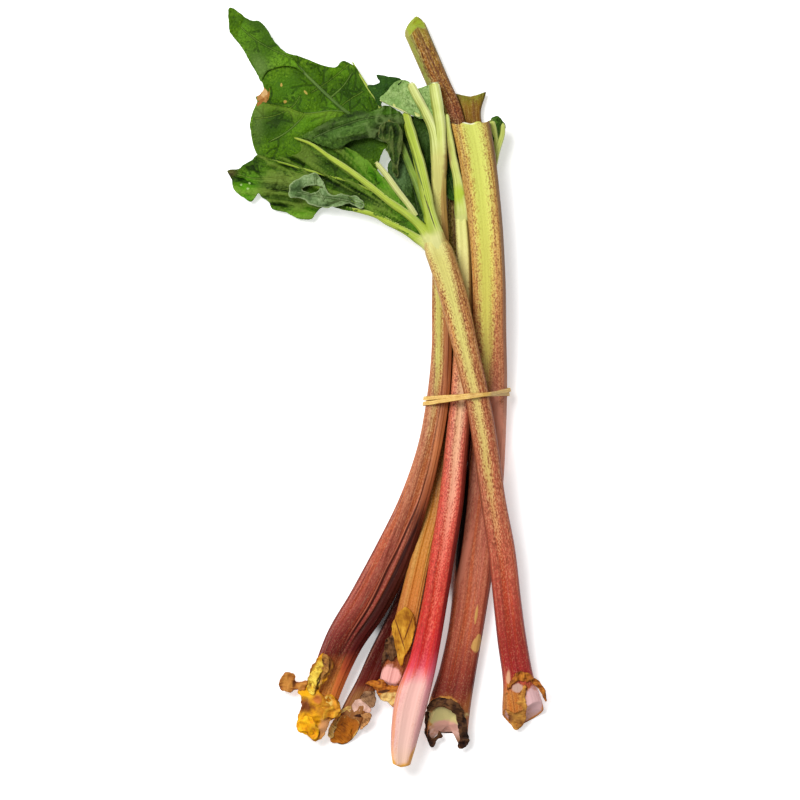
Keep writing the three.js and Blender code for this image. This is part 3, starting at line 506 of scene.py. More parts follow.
# The stalk that bears the leaf lies over all the others: a dotted yellow green stripe between
# tan shoulders, turning maroon at the foot, which is cut aslant and shows pink flesh.
LEAF_STATIONS = [
    (96, -240, 7.5, 30, 15), (94.5, -222, 7.6, 28, 15.5), (91.5, -203, 9, 21.5, 15.5),
    (87, -175.5, 12.5, 20, 15), (83.5, -147.5, 16.5, 19, 14.5), (79.5, -112.5, 21, 18.5, 14.5),
    (73.5, -77.5, 24.3, 17, 14), (67.5, -36, 29.4, 17, 14), (62.6, -8.5, 32.6, 16.5, 14),
    (54.5, 26, 35, 17, 14), (46.5, 60.5, 35.5, 19, 13.5), (38.5, 86.5, 35, 19, 13),
    (35, 95.5, 34.6, 18, 12.4), (32, 103, 34, 13, 9)]
leaf_stalk_finish = skin_finish(
    "leaf_stalk_skin",
    stripe=[(112, 204, 204, 132), (88, 206, 198, 110), (40, 214, 204, 114), (-20, 220, 194, 116),
            (-55, 214, 184, 106), (-84, 214, 158, 100), (-112, 216, 138, 100), (-146, 202, 104, 80),
            (-180, 164, 58, 46)],
    red=[(110, 178, 162, 84), (84, 188, 154, 84), (50, 190, 138, 74), (0, 182, 120, 72),
         (-25, 176, 102, 68), (-77, 186, 104, 74), (-112, 192, 94, 70), (-146, 184, 74, 60),
         (-178, 160, 44, 40), (-198, 168, 40, 46), (-205, 190, 80, 60), (-212, 202, 130, 60),
         (-240, 196, 122, 46)],
    flank_with_painted_shade=[(110, 170, 150, 84), (60, 160, 114, 58), (0, 150, 84, 50), (-50, 138, 74, 54),
           (-110, 146, 70, 58), (-180, 124, 48, 50), (-206, 150, 70, 50), (-214, 170, 104, 44)],
    widths=[(104, 0.9), (92, 0.6), (60, 0.38), (0, 0.33), (-60, 0.24), (-100, 0.12), (-125, -0.1),
            (-150, -0.45)],
    specks=[(104, 0.3), (88, 0.8), (60, 1.0), (-100, 0.8), (-160, 0.45)],
    centre=-0.14, painted_shade_from=0.86,
    flesh=[(-240, 210, 150, 110), (-232, 220, 168, 150), (-224, 224, 176, 168), (100, 206, 208, 140)],
    rim=[(-240, 204, 122, 40), (100, 206, 200, 130)],
    blots=[((220, 164, 124), 84.4, -202, (1.3, 6), 0, 0.9), ((206, 166, 150), 91, -208.5, (4, 3), 0, 0.5),
           ((222, 178, 178), 102.5, -217, (6, 9.5), 10, 0.4),
           ((198, 108, 30), 110.2, -217, (1.8, 8), -6, 0.5)])
leaf_stalk = grow_stalk(
    "leaf_stalk", LEAF_STATIONS, leaf_stalk_finish, seed=11, relief=0.016, dish=(1.6, -3.0),
    base_cut=lambda across, rise: (
        6 + 15 * np.abs(across + 0.45) - 6 * across + 5 * rise + 9 * np.maximum(rise, 0)),
    top_cut=lambda across, rise: 3 + 3 * rise)

# The pink stalk lies on top in the middle of the foot end: pale green with dark dots high up,
# rose red below, hot pink near the foot and then cream, where it grew under the soil.
PINK_STATIONS = [
    (10, -264, 17.5, 11, 11), (11.5, -246, 19.5, 18, 15), (17, -216.5, 22.5, 22.5, 17.5),
    (25.2, -188.5, 24.4, 19, 16), (33.5, -146.5, 26, 17, 14.5), (39, -112, 27.3, 17, 14),
    (44.5, -77.5, 27, 17, 13.5), (48, -43, 24.7, 16, 13.5), (51.3, -8.5, 21.5, 15, 13),
    (52.8, 26, 20.7, 13.4, 12.5), (53.2, 61, 20, 11.6, 11.5), (53, 95.5, 19.5, 9.8, 10.5),
    (51.2, 124, 19.5, 8.4, 9.5), (50.7, 131, 19.4, 6.2, 7)]
pink_finish = skin_finish(
    "pink_stalk_skin",
    stripe=[(132, 210, 216, 126), (95, 222, 216, 136), (56, 220, 194, 122), (0, 226, 182, 134),
            (-40, 230, 170, 132), (-80, 232, 152, 124), (-110, 232, 118, 98), (-160, 232, 100, 84),
            (-182, 232, 88, 88), (-191, 232, 100, 112), (-198, 238, 146, 148), (-205, 240, 184, 174),
            (-246, 236, 192, 178), (-258, 236, 194, 170)],
    red=[(132, 192, 196, 104), (80, 200, 182, 104), (40, 206, 152, 96), (0, 212, 126, 94),
         (-40, 204, 96, 76), (-70, 210, 86, 70), (-110, 208, 70, 58), (-160, 202, 48, 42),
         (-182, 208, 44, 56), (-192, 220, 72, 88), (-199, 226, 124, 130), (-207, 226, 166, 160),
         (-246, 222, 172, 162), (-257, 236, 190, 150), (-262, 222, 156, 60)],
    flank_with_painted_shade=[(130, 140, 130, 62), (0, 150, 78, 50), (-60, 112, 30, 20), (-110, 104, 16, 12),
           (-150, 120, 14, 12), (-180, 176, 26, 36), (-196, 214, 92, 112), (-210, 214, 144, 148),
           (-240, 210, 156, 154), (-258, 228, 172, 156), (-263, 222, 160, 116)],
    widths=[(132, 1), (90, 0.9), (40, 0.5), (0, 0.36), (-90, 0.26), (-130, 0.1), (-190, 0), (-204, 0.6)],
    specks=[(132, 0.3), (90, 0.9), (0, 0.8), (-80, 0.6), (-150, 0.4), (-186, 0.2), (-196, 0)],
    centre=-0.02, painted_shade_from=0.76, lean=0.2,
    streaks=[(130, 0), (100, 0), (60, 0.4), (0, 0.4), (-180, 0.34), (-196, 0)],
    flesh=[(-264, 240, 204, 182), (130, 206, 214, 130)],
    rim=[(-264, 226, 160, 60), (130, 206, 214, 130)], speck=(104, 56, 34),
    blots=[((224, 158, 50), 9, -264, (8, 3.6), 8, 0.9), ((224, 158, 50), 4, -260, (2, 3.6), 16, 0.9),
           ((214, 150, 70), 17.2, -255, (1.4, 8), -24, 0.9)])
pink_stalk = grow_stalk(
    "pink_stalk", PINK_STATIONS, pink_finish, seed=23, relief=0.011, dish=(-1.6, -3.0),
    base_cut=lambda across, rise: 3 + 2.5 * np.abs(across) + 2 * rise,
    top_cut=lambda across, rise: 4 + 4 * rise)

# The broad stalk: a yellow green stripe between stippled tan shoulders and a flank at the
# leaf end darkened as painted shade, dull rose below the band with painted light where the
# stalks over it shade it and painted shade in the gap at its left, and a foot with two prongs
# and a dark dried edge.
BROAD_STATIONS = [
    (42, -252, 7, 27, 14.5), (43, -226, 7.8, 29, 16), (49.5, -196.5, 8.5, 25, 16),
    (56, -161.5, 8.8, 24, 15.5), (62, -113, 8.8, 27, 15), (68, -64, 8.8, 26, 14.5),
    (71.3, -22.5, 9.8, 23.5, 14.5), (71.8, 5.5, 13.5, 23.5, 14.5), (71, 40, 19.5, 23.5, 14.5),
    (70.6, 75, 21.5, 23, 14.5), (67.9, 116, 23, 23.5, 14.5), (62.8, 157.5, 25, 25, 14.5),
    (57.5, 185, 26, 26, 14.5)]
broad_finish = skin_finish(
    "broad_stalk_skin",
    stripe=[(185, 202, 208, 98), (130, 204, 206, 94), (80, 206, 200, 90), (50, 208, 198, 92),
            (20, 202, 184, 92), (-6, 186, 144, 88), (-16, 176, 116, 84)],
    red=[(185, 190, 168, 84), (130, 206, 168, 88), (88, 210, 164, 92), (60, 200, 142, 82),
         (20, 194, 124, 84), (-20, 184, 118, 94), (-78, 184, 102, 78), (-130, 190, 104, 78),
         (-170, 182, 92, 66), (-196, 150, 60, 44), (-209, 128, 44, 36), (-216, 140, 60, 40),
         (-223, 170, 100, 52)],
    flank_with_painted_shade=[(185, 128, 94, 56), (88, 130, 100, 80), (20, 150, 104, 80), (-30, 200, 140, 118),
           (-70, 180, 108, 86), (-110, 172, 94, 74), (-170, 160, 76, 58), (-206, 104, 34, 28),
           (-216, 160, 90, 44)],
    widths=[(185, 0.52), (130, 0.5), (60, 0.42), (24, 0.32), (0, 0.1), (-16, -0.3)],
    specks=[(180, 0.8), (0, 0.7), (-80, 0.45)],
    centre=-0.2, sway=[(185, 0.22), (130, 0.16), (80, 0)], painted_shade_from=0.84, lean=0.12,
    streaks=[(0, 0.4)],
    flesh=[(-252, 74, 44, 30), (-246, 150, 106, 72), (-241, 234, 186, 170), (-232, 240, 196, 180),
           (-228, 224, 206, 150), (180, 214, 222, 150)],
    rim=[(-240, 62, 38, 28), (180, 238, 236, 196)],
    blots=[((206, 156, 88), 62.3, -178, (3.2, 6.6), -18), ((196, 146, 80), 62, -158, (1, 7), -8),
           ((206, 142, 66), 38.5, -227, (12.5, 13), 0, 0.3), ((204, 190, 128), 41, -228, (13, 9.5), 0, 0.3),
           # Painted light: the blots at 77, -32 and at 53.6, -119 brighten where the leaf stalk and the
           # pink stalk shade this stalk; painted shade: the near black blot at 52.4, -92 darkens its left
           # flank in the gap.
           ((218, 162, 144), 40.5, -236, (9.5, 4.6), 0, 0.5), ((226, 150, 122), 77, -32, (28, 5), 94, 0.9),
           ((200, 116, 90), 53.6, -119, (22, 2.6), 76, 0.9),
           ((26, 10, 8), 52.4, -92, (40, 2.3), 83.7, 0.3, 0.4),
           ((240, 240, 204), 52, 183.8, (8.5, 1.3), -13, 0.3)])
broad_stalk = grow_stalk(
    "broad_stalk", BROAD_STATIONS, broad_finish, seed=31, relief=0.014, dish=(3.4, 1.8),
    base_cut=lambda across, rise: 20.5 + 14 * rise + 8 * np.tanh(8 * (0.62 - np.abs(across + 0.12))),
    top_cut=lambda across, rise: 3 + 2.2 * across + 0.8 * np.cos(9 * across))

# The long stalk runs under the bunch and out past its leaf end: ochre towards the foot, olive
# brown and stippled above, with a slanting cut that shows lime flesh.
LONG_STATIONS = [
    (0.5, -217, 9.5, 16, 12), (6.5, -192.5, 14, 17.5, 13), (11.5, -171.5, 16.8, 17, 13),
    (17, -147, 17.5, 15.5, 12.5), (24.8, -112.5, 17.2, 14, 12), (33.5, -78, 15.2, 14.5, 12),
    (36, -43, 10.6, 14.5, 12), (38, -8.5, 8.5, 14.5, 12), (42.5, 26.5, 7.5, 14.5, 12),
    (47.5, 61.5, 7, 14.5, 12), (49.6, 96, 7, 17, 12), (50.4, 131, 7.3, 18, 12.5),
    (49.6, 166, 8.5, 16, 12.5), (44.5, 192, 8.5, 15.5, 12.5), (35, 214.5, 7.5, 15.5, 12.5, 10),
    (16, 258.5, 6.2, 16, 13, 14)]
long_finish = skin_finish(
    "long_stalk_skin",
    stripe=[(258, 140, 144, 56), (200, 128, 132, 54), (130, 128, 124, 42)],
    red=[(258, 144, 140, 36), (248, 142, 122, 32), (236, 146, 110, 30), (202, 140, 86, 28),
         (192, 138, 72, 34), (176, 112, 84, 30), (130, 120, 110, 34), (95, 130, 118, 38), (0, 156, 118, 56),
         (-70, 178, 128, 54), (-112, 196, 142, 62), (-140, 196, 130, 60), (-168, 192, 120, 54),
         (-176, 132, 64, 26), (-190, 150, 80, 44)],
    flank_with_painted_shade=[(258, 116, 118, 40), (215, 112, 106, 40), (200, 104, 70, 32), (100, 74, 66, 22),
           (-70, 126, 70, 30), (-170, 112, 52, 22)],
    widths=[(258, 0.34), (190, 0.3), (178, -0.2), (150, -0.5)],
    specks=[(250, 0.5), (236, 0.95), (100, 0.95), (-60, 0.5), (-100, 0.25)],
    centre=-0.72, speck=(88, 44, 22), painted_shade_from=0.92,
    streaks=[(250, 0.4), (230, 0.8), (0, 0.7), (-90, 0.05)],
    flesh=[(-217, 222, 150, 120), (255, 136, 152, 30)],
    rim=[(-217, 150, 80, 36), (255, 150, 150, 66)],
    blots=[((236, 172, 162), 2.5, -199.5, (7, 7), 0, 0.4), ((92, 46, 20), 4, -180, (5, 5), 20, 0.6),
           ((142, 138, 64), 11.6, 249.5, (8, 2.4), 112, 0.3)])
long_stalk = grow_stalk(
    "long_stalk", LONG_STATIONS, long_finish, seed=47, relief=0.028, dish=(1.5, -2.2),
    base_cut=lambda across, rise: 9 + 9 * rise,
    top_cut=lambda across, rise: (
        4 + 3.4 * rise - 2 * across + 9 * np.maximum(across - 0.35, 0) ** 1.5))

# The dark stalk is the lowest: maroon at the foot, where its cut has dried to a brown scoop,
# and olive brown at the leaf end, which spreads flat into two horns.
DARK_STATIONS = [
    (-34, -250, 5.3, 13, 11), (-24.5, -229, 6.2, 17, 13), (-14, -206, 5.8, 14.5, 12),
    (-5, -186.5, 5, 14.5, 10.5), (11, -153, 4.6, 14, 9.5), (26.5, -113, 4.6, 14, 9.5),
    (41, -78, 4.6, 13, 9.5), (51.2, -43.5, 5.5, 13, 10.5), (52.5, -8.5, 7.6, 13, 11.5),
    (57, 26.5, 5.4, 13, 10.5), (62.5, 61.5, 5.2, 13.5, 10.5), (65.5, 96.5, 5.6, 13.5, 11),
    (66.5, 131, 6, 13, 11), (64, 166, 5.6, 12.5, 10.5), (59.5, 190, 5.2, 12, 9), (58.5, 206, 5.2, 21, 5)]
dark_finish = skin_finish(
    "dark_stalk_skin",
    stripe=[(200, 150, 124, 46), (0, 140, 90, 60), (-112, 150, 84, 70), (-190, 120, 60, 56)],
    red=[(206, 112, 126, 24), (196, 134, 106, 28), (175, 118, 84, 30), (100, 112, 62, 36), (0, 112, 52, 32),
         (-112, 80, 22, 14), (-165, 68, 10, 10), (-192, 76, 14, 14), (-206, 100, 30, 24),
         (-214, 150, 100, 56)],
    flank_with_painted_shade=[(200, 96, 74, 28), (0, 76, 36, 24), (-165, 62, 16, 12), (-220, 96, 50, 26)],
    widths=[(200, -0.2), (-112, -0.1), (-190, 0)],
    specks=[(0, 0.4), (-120, 0.1)], centre=-0.8, painted_shade_from=0.86, sheen=0.06,
    flesh=[(-250, 120, 64, 22), (-243, 166, 94, 26), (-228, 176, 102, 32), (-224, 226, 184, 158),
           (-216, 228, 190, 164), (200, 130, 116, 40)],
    rim=[(-250, 206, 156, 76), (-225, 196, 146, 72), (-214, 104, 52, 36), (200, 112, 132, 24)],
    blots=[((60, 30, 20), -18, -228, (5, 1.2), 4)])
dark_stalk = grow_stalk(
    "dark_stalk", DARK_STATIONS, dark_finish, seed=59, relief=0.022, dish=(4.0, 0.6),
    base_cut=lambda across, rise: 17 + 16 * rise,
    top_cut=lambda across, rise: 11 * np.cos(1.5 * across) ** 2)

# The table top: plain and pale, with a faint glow of its own as painted light. The glow is painted
# out, as painted shade, over the two narrow gaps where the stalks lie close side by side.
TABLE_PALENESS = 0.9
TABLE_ROUGHNESS = 0.9
TABLE_GLOW = 0.42
table_finish = Finish("table_finish")
glow_and_painted_gap_shade = table_finish.level([(0, 255, 255, 255)])
# Painted shade: two dark blots take the glow away in the gaps between the stalks.
glow_and_painted_gap_shade = table_finish.blots(glow_and_painted_gap_shade, [((10, 6, 4), 52.5, -98, (50, 9), 84.4),
                                 ((10, 6, 4), 6.5, -139, (34, 10), 69)], 0.0, 0.3)
table_finish.tree.links.new(glow_and_painted_gap_shade.socket, table_finish.gloss.inputs["Emission Color"])
table_finish.gloss.inputs["Base Color"].default_value = grey(TABLE_PALENESS)
table_finish.gloss.inputs["Roughness"].default_value = TABLE_ROUGHNESS
table_finish.gloss.inputs["Emission Strength"].default_value = TABLE_GLOW
table_mesh.materials.append(table_finish.material)

# The leaf, torn and folded over on itself: a main blade whose tip is folded back, a crumpled
# lower lobe, a dark curled flap between them, a pale flap turned underside up, and a dark
# scrap behind the ribs. A vein lifts each sheet a little and the blade puffs up between veins.
LEAF_THICKNESS = 0.6
RIB_SINK = 0.8
ROW_STEP = 0.866
SIDE_VEINS = ((11.0, 1.0), (6.0, 0.42))
VEIN_STRENGTHS = (1.0, 0.62, 0.34)


def rounded(outline, step):
    """A closed smooth line through the corners of an outline."""
    rows = np.array(outline, float)
    loop = np.vstack([rows[-1], rows, rows[:2]])
    runs = []
    for a, b, c, d in zip(loop, loop[1:], loop[2:], loop[3:]):
        steps = max(2, int(np.linalg.norm(c - b) / step))
        t = np.arange(steps)[:, None] / steps
        runs.append(bend(a, b, c, d, t))
    return np.vstack(runs)


def within(points, loops):
    """Whether each point lies inside the first closed line and outside the holes in it."""
    x, y = points.T
    inside = np.zeros(len(points), bool)
    for loop in loops:
        for (x0, y0), (x1, y1) in zip(loop, np.roll(loop, -1, axis=0)):
            at = x0 + (y - y0) * (x1 - x0) / (y1 - y0 if y1 != y0 else 1)
            inside ^= ((y0 > y) != (y1 > y)) & (x < at)
    return inside


def nearest(points, line):
    return np.sqrt(((points[:, None] - line[None]) ** 2).sum(-1).min(1))


def height_over(points, known, spread):
    """A smooth height over the table, from heights known at a few places."""
    known = np.array(known, float)
    far = ((points[:, None] - known[None, :, :2]) ** 2).sum(-1) / spread ** 2
    weight = np.exp(-far / 2) + 1e-9 / (1 + far)
    return (weight * known[:, 2]).sum(1) / weight.sum(1)


def side_veins(vein, spacing, reach, seed):
    """Veins that leave a vein by turns to its left and right and bend towards its end."""
    draw = np.random.default_rng(seed)
    count = int(run_length(vein) / spacing)
    found = []
    for k in range(count):
        share = (k + 0.5 + draw.uniform(-0.3, 0.3)) / count
        start = spline(vein, np.array([share]))[0]
        ahead = spline(vein, np.array([min(share + 0.04, 1)]))[0] - start
        heading = math.atan2(ahead[1], ahead[0])
        turn = (1 if k % 2 else -1) * draw.uniform(0.75, 1.05)
        steps = np.linspace(0, 1, 7)
        headings = heading + turn * (1 - 0.35 * steps) + 0.2 * np.sin(steps * 5 + draw.uniform(0, 6))
        stride = reach * draw.uniform(0.6, 1.1) * (1.1 - 0.5 * share) / 6
        moves = np.stack([np.cos(headings), np.sin(headings)], -1) * stride
        found.append(start + np.vstack([[0, 0], np.cumsum(moves[:-1], axis=0)]))
    return found


def vein_web(veins, reach, step, seed):
    """The veins, their side veins and the finest ones, each as close points and a strength."""
    webs = [[np.array(vein, float) for vein in veins], [], []]
    for level, (spacing, part) in enumerate(SIDE_VEINS):
        for k, line in enumerate(webs[level]):
            webs[level + 1] += side_veins(line, spacing, reach * part, seed * 31 + level * 100 + k)
    found = []
    for lines, strength in zip(webs, VEIN_STRENGTHS):
        for line in lines:
            share = np.linspace(0, 1, int(run_length(line) / step) + 2)
            found.append((spline(line, share), strength))
    return found


def grow_sheet(name, outline, known, finish, spread=11.0, thickness=LEAF_THICKNESS, cell=1.15,
               ragged=0.4, veins=(), reach=20.0, puff=0.9, curl=0.6, folds=None, holes=(), seed=1):
    """A thin sheet cut to an outline, over known heights, with veins, puffs and folds. Its
    points follow the veins, so that a vein is a crisp valley between two puffs."""
    draw = np.random.default_rng(seed)
    loops = []
    for line in (outline, *holes):
        edge = rounded(line, cell)
        run = unit(np.roll(edge, -1, axis=0) - np.roll(edge, 1, axis=0))
        stray = clouds(*edge.T, 3.2, seed) + 0.5 * clouds(*edge.T, 1.3, seed)
        loops.append(edge + run[:, ::-1] * (1, -1) * (stray - 0.75)[:, None] * 2 * ragged)
    rim = np.vstack(loops)
    low, high = rim.min(0), rim.max(0)
    grid = np.mgrid[low[0]:high[0]:cell, low[1]:high[1]:cell * ROW_STEP].reshape(2, -1).T
    grid[:, 0] += (np.round((grid[:, 1] - low[1]) / (cell * ROW_STEP)) % 2) * cell / 2
    grid += draw.uniform(-0.12, 0.12, grid.shape) * cell
    web = vein_web(veins, reach, cell * 0.8, seed)
    beside = []
    for line, strength in web:
        off = unit(np.gradient(line, axis=0))[:, ::-1] * (1, -1) * cell * 0.75
        beside += [line, line + off, line - off]
        grid = grid[nearest(grid, line) > cell * 1.2]
    grid = np.vstack([grid, *beside])
    grid = grid[within(grid, loops)]
    grid = grid[nearest(grid, rim) > cell * 0.6]
    corners = np.vstack([rim, grid])
    edges, first = [], 0
    for loop in loops:
        ring = np.arange(first, first + len(loop))
        edges += np.stack([ring, np.roll(ring, -1)], -1).tolist()
        first += len(loop)
    flat, _, triangles, *_ = delaunay_2d_cdt([Vector(c) for c in corners.tolist()], edges, [], 0, 1e-5)
    flat = np.array([tuple(c) for c in flat])
    triangles = np.array([t for t in triangles if len(t) == 3])
    triangles = triangles[within(flat[triangles].mean(1), loops)]

    from_rim = nearest(flat, rim)
    vein = np.zeros(len(flat))
    from_vein = np.full(len(flat), 50.0)
    for line, strength in web:
        far = nearest(flat, line)
        vein = np.maximum(vein, strength * np.exp(-(far / 0.5) ** 2))
        from_vein = np.minimum(from_vein, far + (1 - strength) * 1.2)
    height = height_over(flat, known, spread)
    height += puff * (1 - np.exp(-(from_vein / 3.0) ** 2)) * (0.5 + clouds(*flat.T, 6, seed))
    height += puff * (clouds(*flat.T, 15, seed + 3) - 0.5) * 2
    wave = clouds(*flat.T, 12, seed + 4) - 0.5
    height += curl * np.exp(-from_rim / 3.5) * wave * 4
    crease = folds(*flat.T) if folds else 0 * height
    height += crease
    height += 0.25 * (clouds(*flat.T, 2.4, seed + 8) - 0.5)

    count = len(flat)
    top = np.column_stack([flat, height + thickness / 2])
    under = np.column_stack([flat, height - thickness / 2])
    used = dict.fromkeys(pair for a, b, c in triangles.tolist() for pair in ((a, b), (b, c), (c, a)))
    open_edges = [pair for pair in used if pair[::-1] not in used]
    faces = triangles.tolist() + (triangles[:, ::-1] + count).tolist()
    faces += [(b, a, a + count, b + count) for a, b in open_edges]
    return plain_piece(name, np.vstack([top, under]), faces, finish, vein=np.tile(vein, 2),
                       from_rim=np.tile(from_rim, 2), fold=np.tile(crease, 2),
                       back=np.repeat([0.0, 1.0], count))


def leaf_finish(name, dark, middle, bright, vein_tone, back_tone, patch=55.0, fold_depth=1.0,
                rim_tone=None, washes=(), spots=(), shine=0.5):
    """A leaf's skin: three greens that run into each other, pale veins with painted shade in the
    grooves beside them, a net of fine ones, painted shade in the fold valleys and a painted
    highlight on the fold ridges, soft washes of other greens and a few ragged spots."""
    finish = Finish(name)
    vein = finish.field("vein", "Fac")
    fold = finish.field("fold", "Fac")
    clumps = finish.spot.noise(patch, 3.0, 0.55)
    mottle = finish.spot.noise(560.0, 4.0, 0.65)
    green = (clumps + (mottle - 0.5) * 0.5).ramp([(0.34, *dark), (0.5, *middle), (0.7, *bright)])
    green = finish.blots(green, washes, 0.4, 1.9, 120.0)
    net = finish.spot.node("ShaderNodeTexVoronoi", {"feature": "DISTANCE_TO_EDGE"},
                           {"Vector": finish.spot, "Scale": 420.0})
    green = green.times((206, 216, 180), net.fade(0.14, 0.0) * mottle * 1.2)
    green = green.times((160, 172, 130), (mottle - (clumps - 0.5) * 0.4).fade(0.44, 0.34) * 0.7)
    green = green.blend(vein_tone, (mottle + (clumps - 0.5) * 0.4).fade(0.6, 0.74) * 0.35)
    # Painted shade in the grooves along the veins.
    green = green.times((150, 162, 116), vein.fade(0.03, 0.14) * 0.7)
    green = green.blend(vein_tone, vein.fade(0.5, 0.95) * (mottle * 0.8 + 0.2) * 0.55)
    # Painted shade in the fold valleys and a painted highlight on the fold ridges, scaled by fold_depth.
    green = green.times((74, 100, 50), fold.fade(-0.08 * fold_depth, -0.8 * fold_depth) * 0.85)
    green = green.blend(vein_tone, fold.fade(0.35 * fold_depth, 1.2 * fold_depth) * 0.3)
    if rim_tone:
        near_rim = finish.field("from_rim", "Fac") + (mottle - 0.5) * 1.4 + (clumps - 0.5) * 3
        green = green.blend(rim_tone, near_rim.fade(0.9, 0.1) * 0.6)
    green = finish.blots(green, spots, 0.9, 0.3, 420.0)
    green = green.blend(back_tone, finish.field("back", "Fac") * 0.8)
    relief = net.fade(0.0, 0.3) * 0.4 + mottle * 0.6
    return finish.feed(green, mottle * 0.3 + (shine - 0.1), relief, depth=0.0009, sheen=0.07)


MID_RIB = [
    (-4, 178, 18.5, 3), (-16, 184, 17.5, 2.6), (-28, 191.5, 16, 2.3), (-39.5, 201.5, 14.5, 2.1),
    (-53.5, 215, 13, 1.8), (-66.5, 228, 11, 1.4), (-83, 238.5, 8.5, 1), (-97, 248, 6.5, 0.8)]
EDGE_RIB = [
    (-24, 227, 8.4, 1), (-17.5, 216, 10.5, 1.4), (-12, 207, 12.5, 1.8), (-6, 198.5, 15, 2.2),
    (-3.5, 191.5, 17.5, 3)]
SIDE_RIBS = [
    [(-27, 191.5, 15.5, 1.2), (-39.5, 192.5, 13.5, 1), (-57, 191, 11, 1), (-71, 195.5, 8, 0.9),
     (-83, 198, 5.5, 0.8)],
    [(-57, 191, 11, 1), (-62, 185, 10.5, 1), (-71, 177.5, 8, 0.9), (-81.5, 172, 6.5, 0.8)],
    [(-39.5, 201.5, 14, 1.1), (-30.5, 210, 12, 0.9), (-24, 220, 9.6, 0.7)]]
BRIGHT_RIB = [
    (37.5, 88, 33, 9), (31, 101.5, 33.6, 10.5), (23.5, 111, 31, 7), (14.5, 119.5, 28.5, 5.6),
    (2, 128.5, 25.5, 4.8), (-11.5, 139.5, 22.5, 4.4), (-25.5, 150.5, 20, 4), (-39.5, 160, 17.5, 3.2),
    (-52, 169, 15.5, 2.4), (-64.5, 174, 13, 1.4)]
LOWER_RIB = [
    (36, 88, 32.6, 8.5), (29, 98.5, 32.8, 10), (21.5, 102.5, 30.5, 6.8), (12.5, 108.5, 27.5, 5.2),
    (2, 114, 24.5, 4.8), (-7.5, 119.5, 21, 4), (-17.5, 122.5, 17, 3), (-29, 125, 13, 2)]
FOLD_RIB = [
    (-10.5, 136.5, 21.5, 1.2), (-25.5, 143, 17.5, 1.7), (-39.5, 147, 14.5, 1.7), (-55, 151.5, 11.5, 1.6),
    (-71.5, 156.5, 8.5, 1.4), (-88.5, 161, 6, 1.2)]


def under_ribs(*ribs):
    return [(x, y, z - RIB_SINK) for rib in ribs for x, y, z, _ in rib]


def ground_line(rib):
    return [row[:2] for row in rib]


def blade_folds(x, y):
    """The lower part of the blade lies in a fold over the upper part, along the side veins."""
    line = np.interp(x, (-95, -83, -71, -57, -40, -27), (199, 198, 195.5, 191, 192.5, 191.5))
    below = line - y
    step = np.exp(-below / 7) / (1 + np.exp(-below / 0.35)) * (x < -30)
    return 1.9 * np.nan_to_num(step) + 1.1 * (creases(x / 1.6 + y / 3, y, 9, 15) - 0.5)


blade_finish = leaf_finish(
    "leaf_blade_green", (52, 84, 4), (66, 102, 6), (88, 126, 12), (132, 162, 50),
    (120, 150, 96), rim_tone=(90, 124, 20), fold_depth=1.6,
    washes=[((88, 132, 12), -33, 220.5, (9, 3.5), -25), ((84, 128, 16), -36, 198, (5, 5), 0),
            ((82, 126, 14), -52, 186, (17, 4), 22), ((84, 108, 46), -90, 188, (4, 15), 0),
            ((46, 76, 10), -78, 186, (10, 7), 20), ((44, 72, 8), -20, 166, (14, 9), 0),
            ((52, 86, 10), -24, 205, (12, 9), -50), ((66, 106, 12), -68, 207, (12, 7), -40)],
    spots=[((164, 116, 62), -86.5, 204, (3.8, 5), -20), ((196, 158, 104), -85.5, 205.6, (2, 2.6), -20),
           ((142, 92, 40), -88.5, 199.5, (1.3, 3.6), -50), ((150, 100, 42), -82.6, 204.6, (0.6, 4), -10),
           ((176, 146, 70), -73.5, 211, (0.8, 1.4), 0), ((170, 150, 70), -56.6, 205.6, (0.8, 1.5), 30),
           ((160, 130, 60), -71, 199.5, (1.1, 1), 0)])
blade = grow_sheet(
    "leaf_blade",
    [(-110, 265), (-102, 261), (-95.5, 256.5), (-88.5, 255.5), (-82.5, 248.5), (-79.5, 242), (-71.5, 234.5),
     (-60.5, 231), (-53.5, 228), (-40.5, 223.5), (-35.5, 224), (-30.5, 228), (-25.5, 226), (-21.5, 223.5),
     (-17.5, 215.5), (-12, 207.5), (-6, 199.5), (-2, 193.5), (9, 189), (10.5, 181), (6.5, 171),
     (3.5, 165.5), (-2, 165.5), (-5.5, 157), (-7, 150), (-14.5, 146), (-25.5, 150), (-39.5, 150),
     (-60.5, 153), (-76, 157), (-89.5, 161.5), (-94, 172.5), (-95.5, 183), (-94.5, 190), (-92, 196),
     (-90.5, 200.5), (-92, 203), (-88.5, 205), (-86, 208.5), (-87, 213), (-89, 215.5), (-95.5, 227.5),
     (-102, 238.5), (-107, 245), (-110, 250.5)],
    under_ribs(MID_RIB, EDGE_RIB, *SIDE_RIBS) + [
        (-110, 265, 4), (-97, 257, 5), (-105, 243, 2.5), (-96, 225, 3), (-88, 211, 4), (-75, 234, 10),
        (-75, 210, 8.5), (-92, 195, 0.5), (-95, 180, 0.5), (-90, 163, 2), (-76, 188, 9), (-60, 203, 12),
        (-45, 214, 12), (-55, 227, 8.5), (-31, 226, 7.5), (-60, 170, 8), (-40, 155, 11), (-15, 150, 16),
        (-5, 160, 18), (-25, 175, 13), (8, 172, 19.5)],
    blade_finish, veins=[ground_line(rib) for rib in (MID_RIB, EDGE_RIB, *SIDE_RIBS)] + [
        [(-60.5, 203), (-66, 196), (-78, 190), (-92, 188)], [(-17, 206), (-28, 199), (-38, 190)],
        [(-26, 226), (-40, 214), (-52, 206)]],
    seed=5, reach=22, folds=blade_folds)
give_to_bunch(blade, "leaf", "leaf_blade")

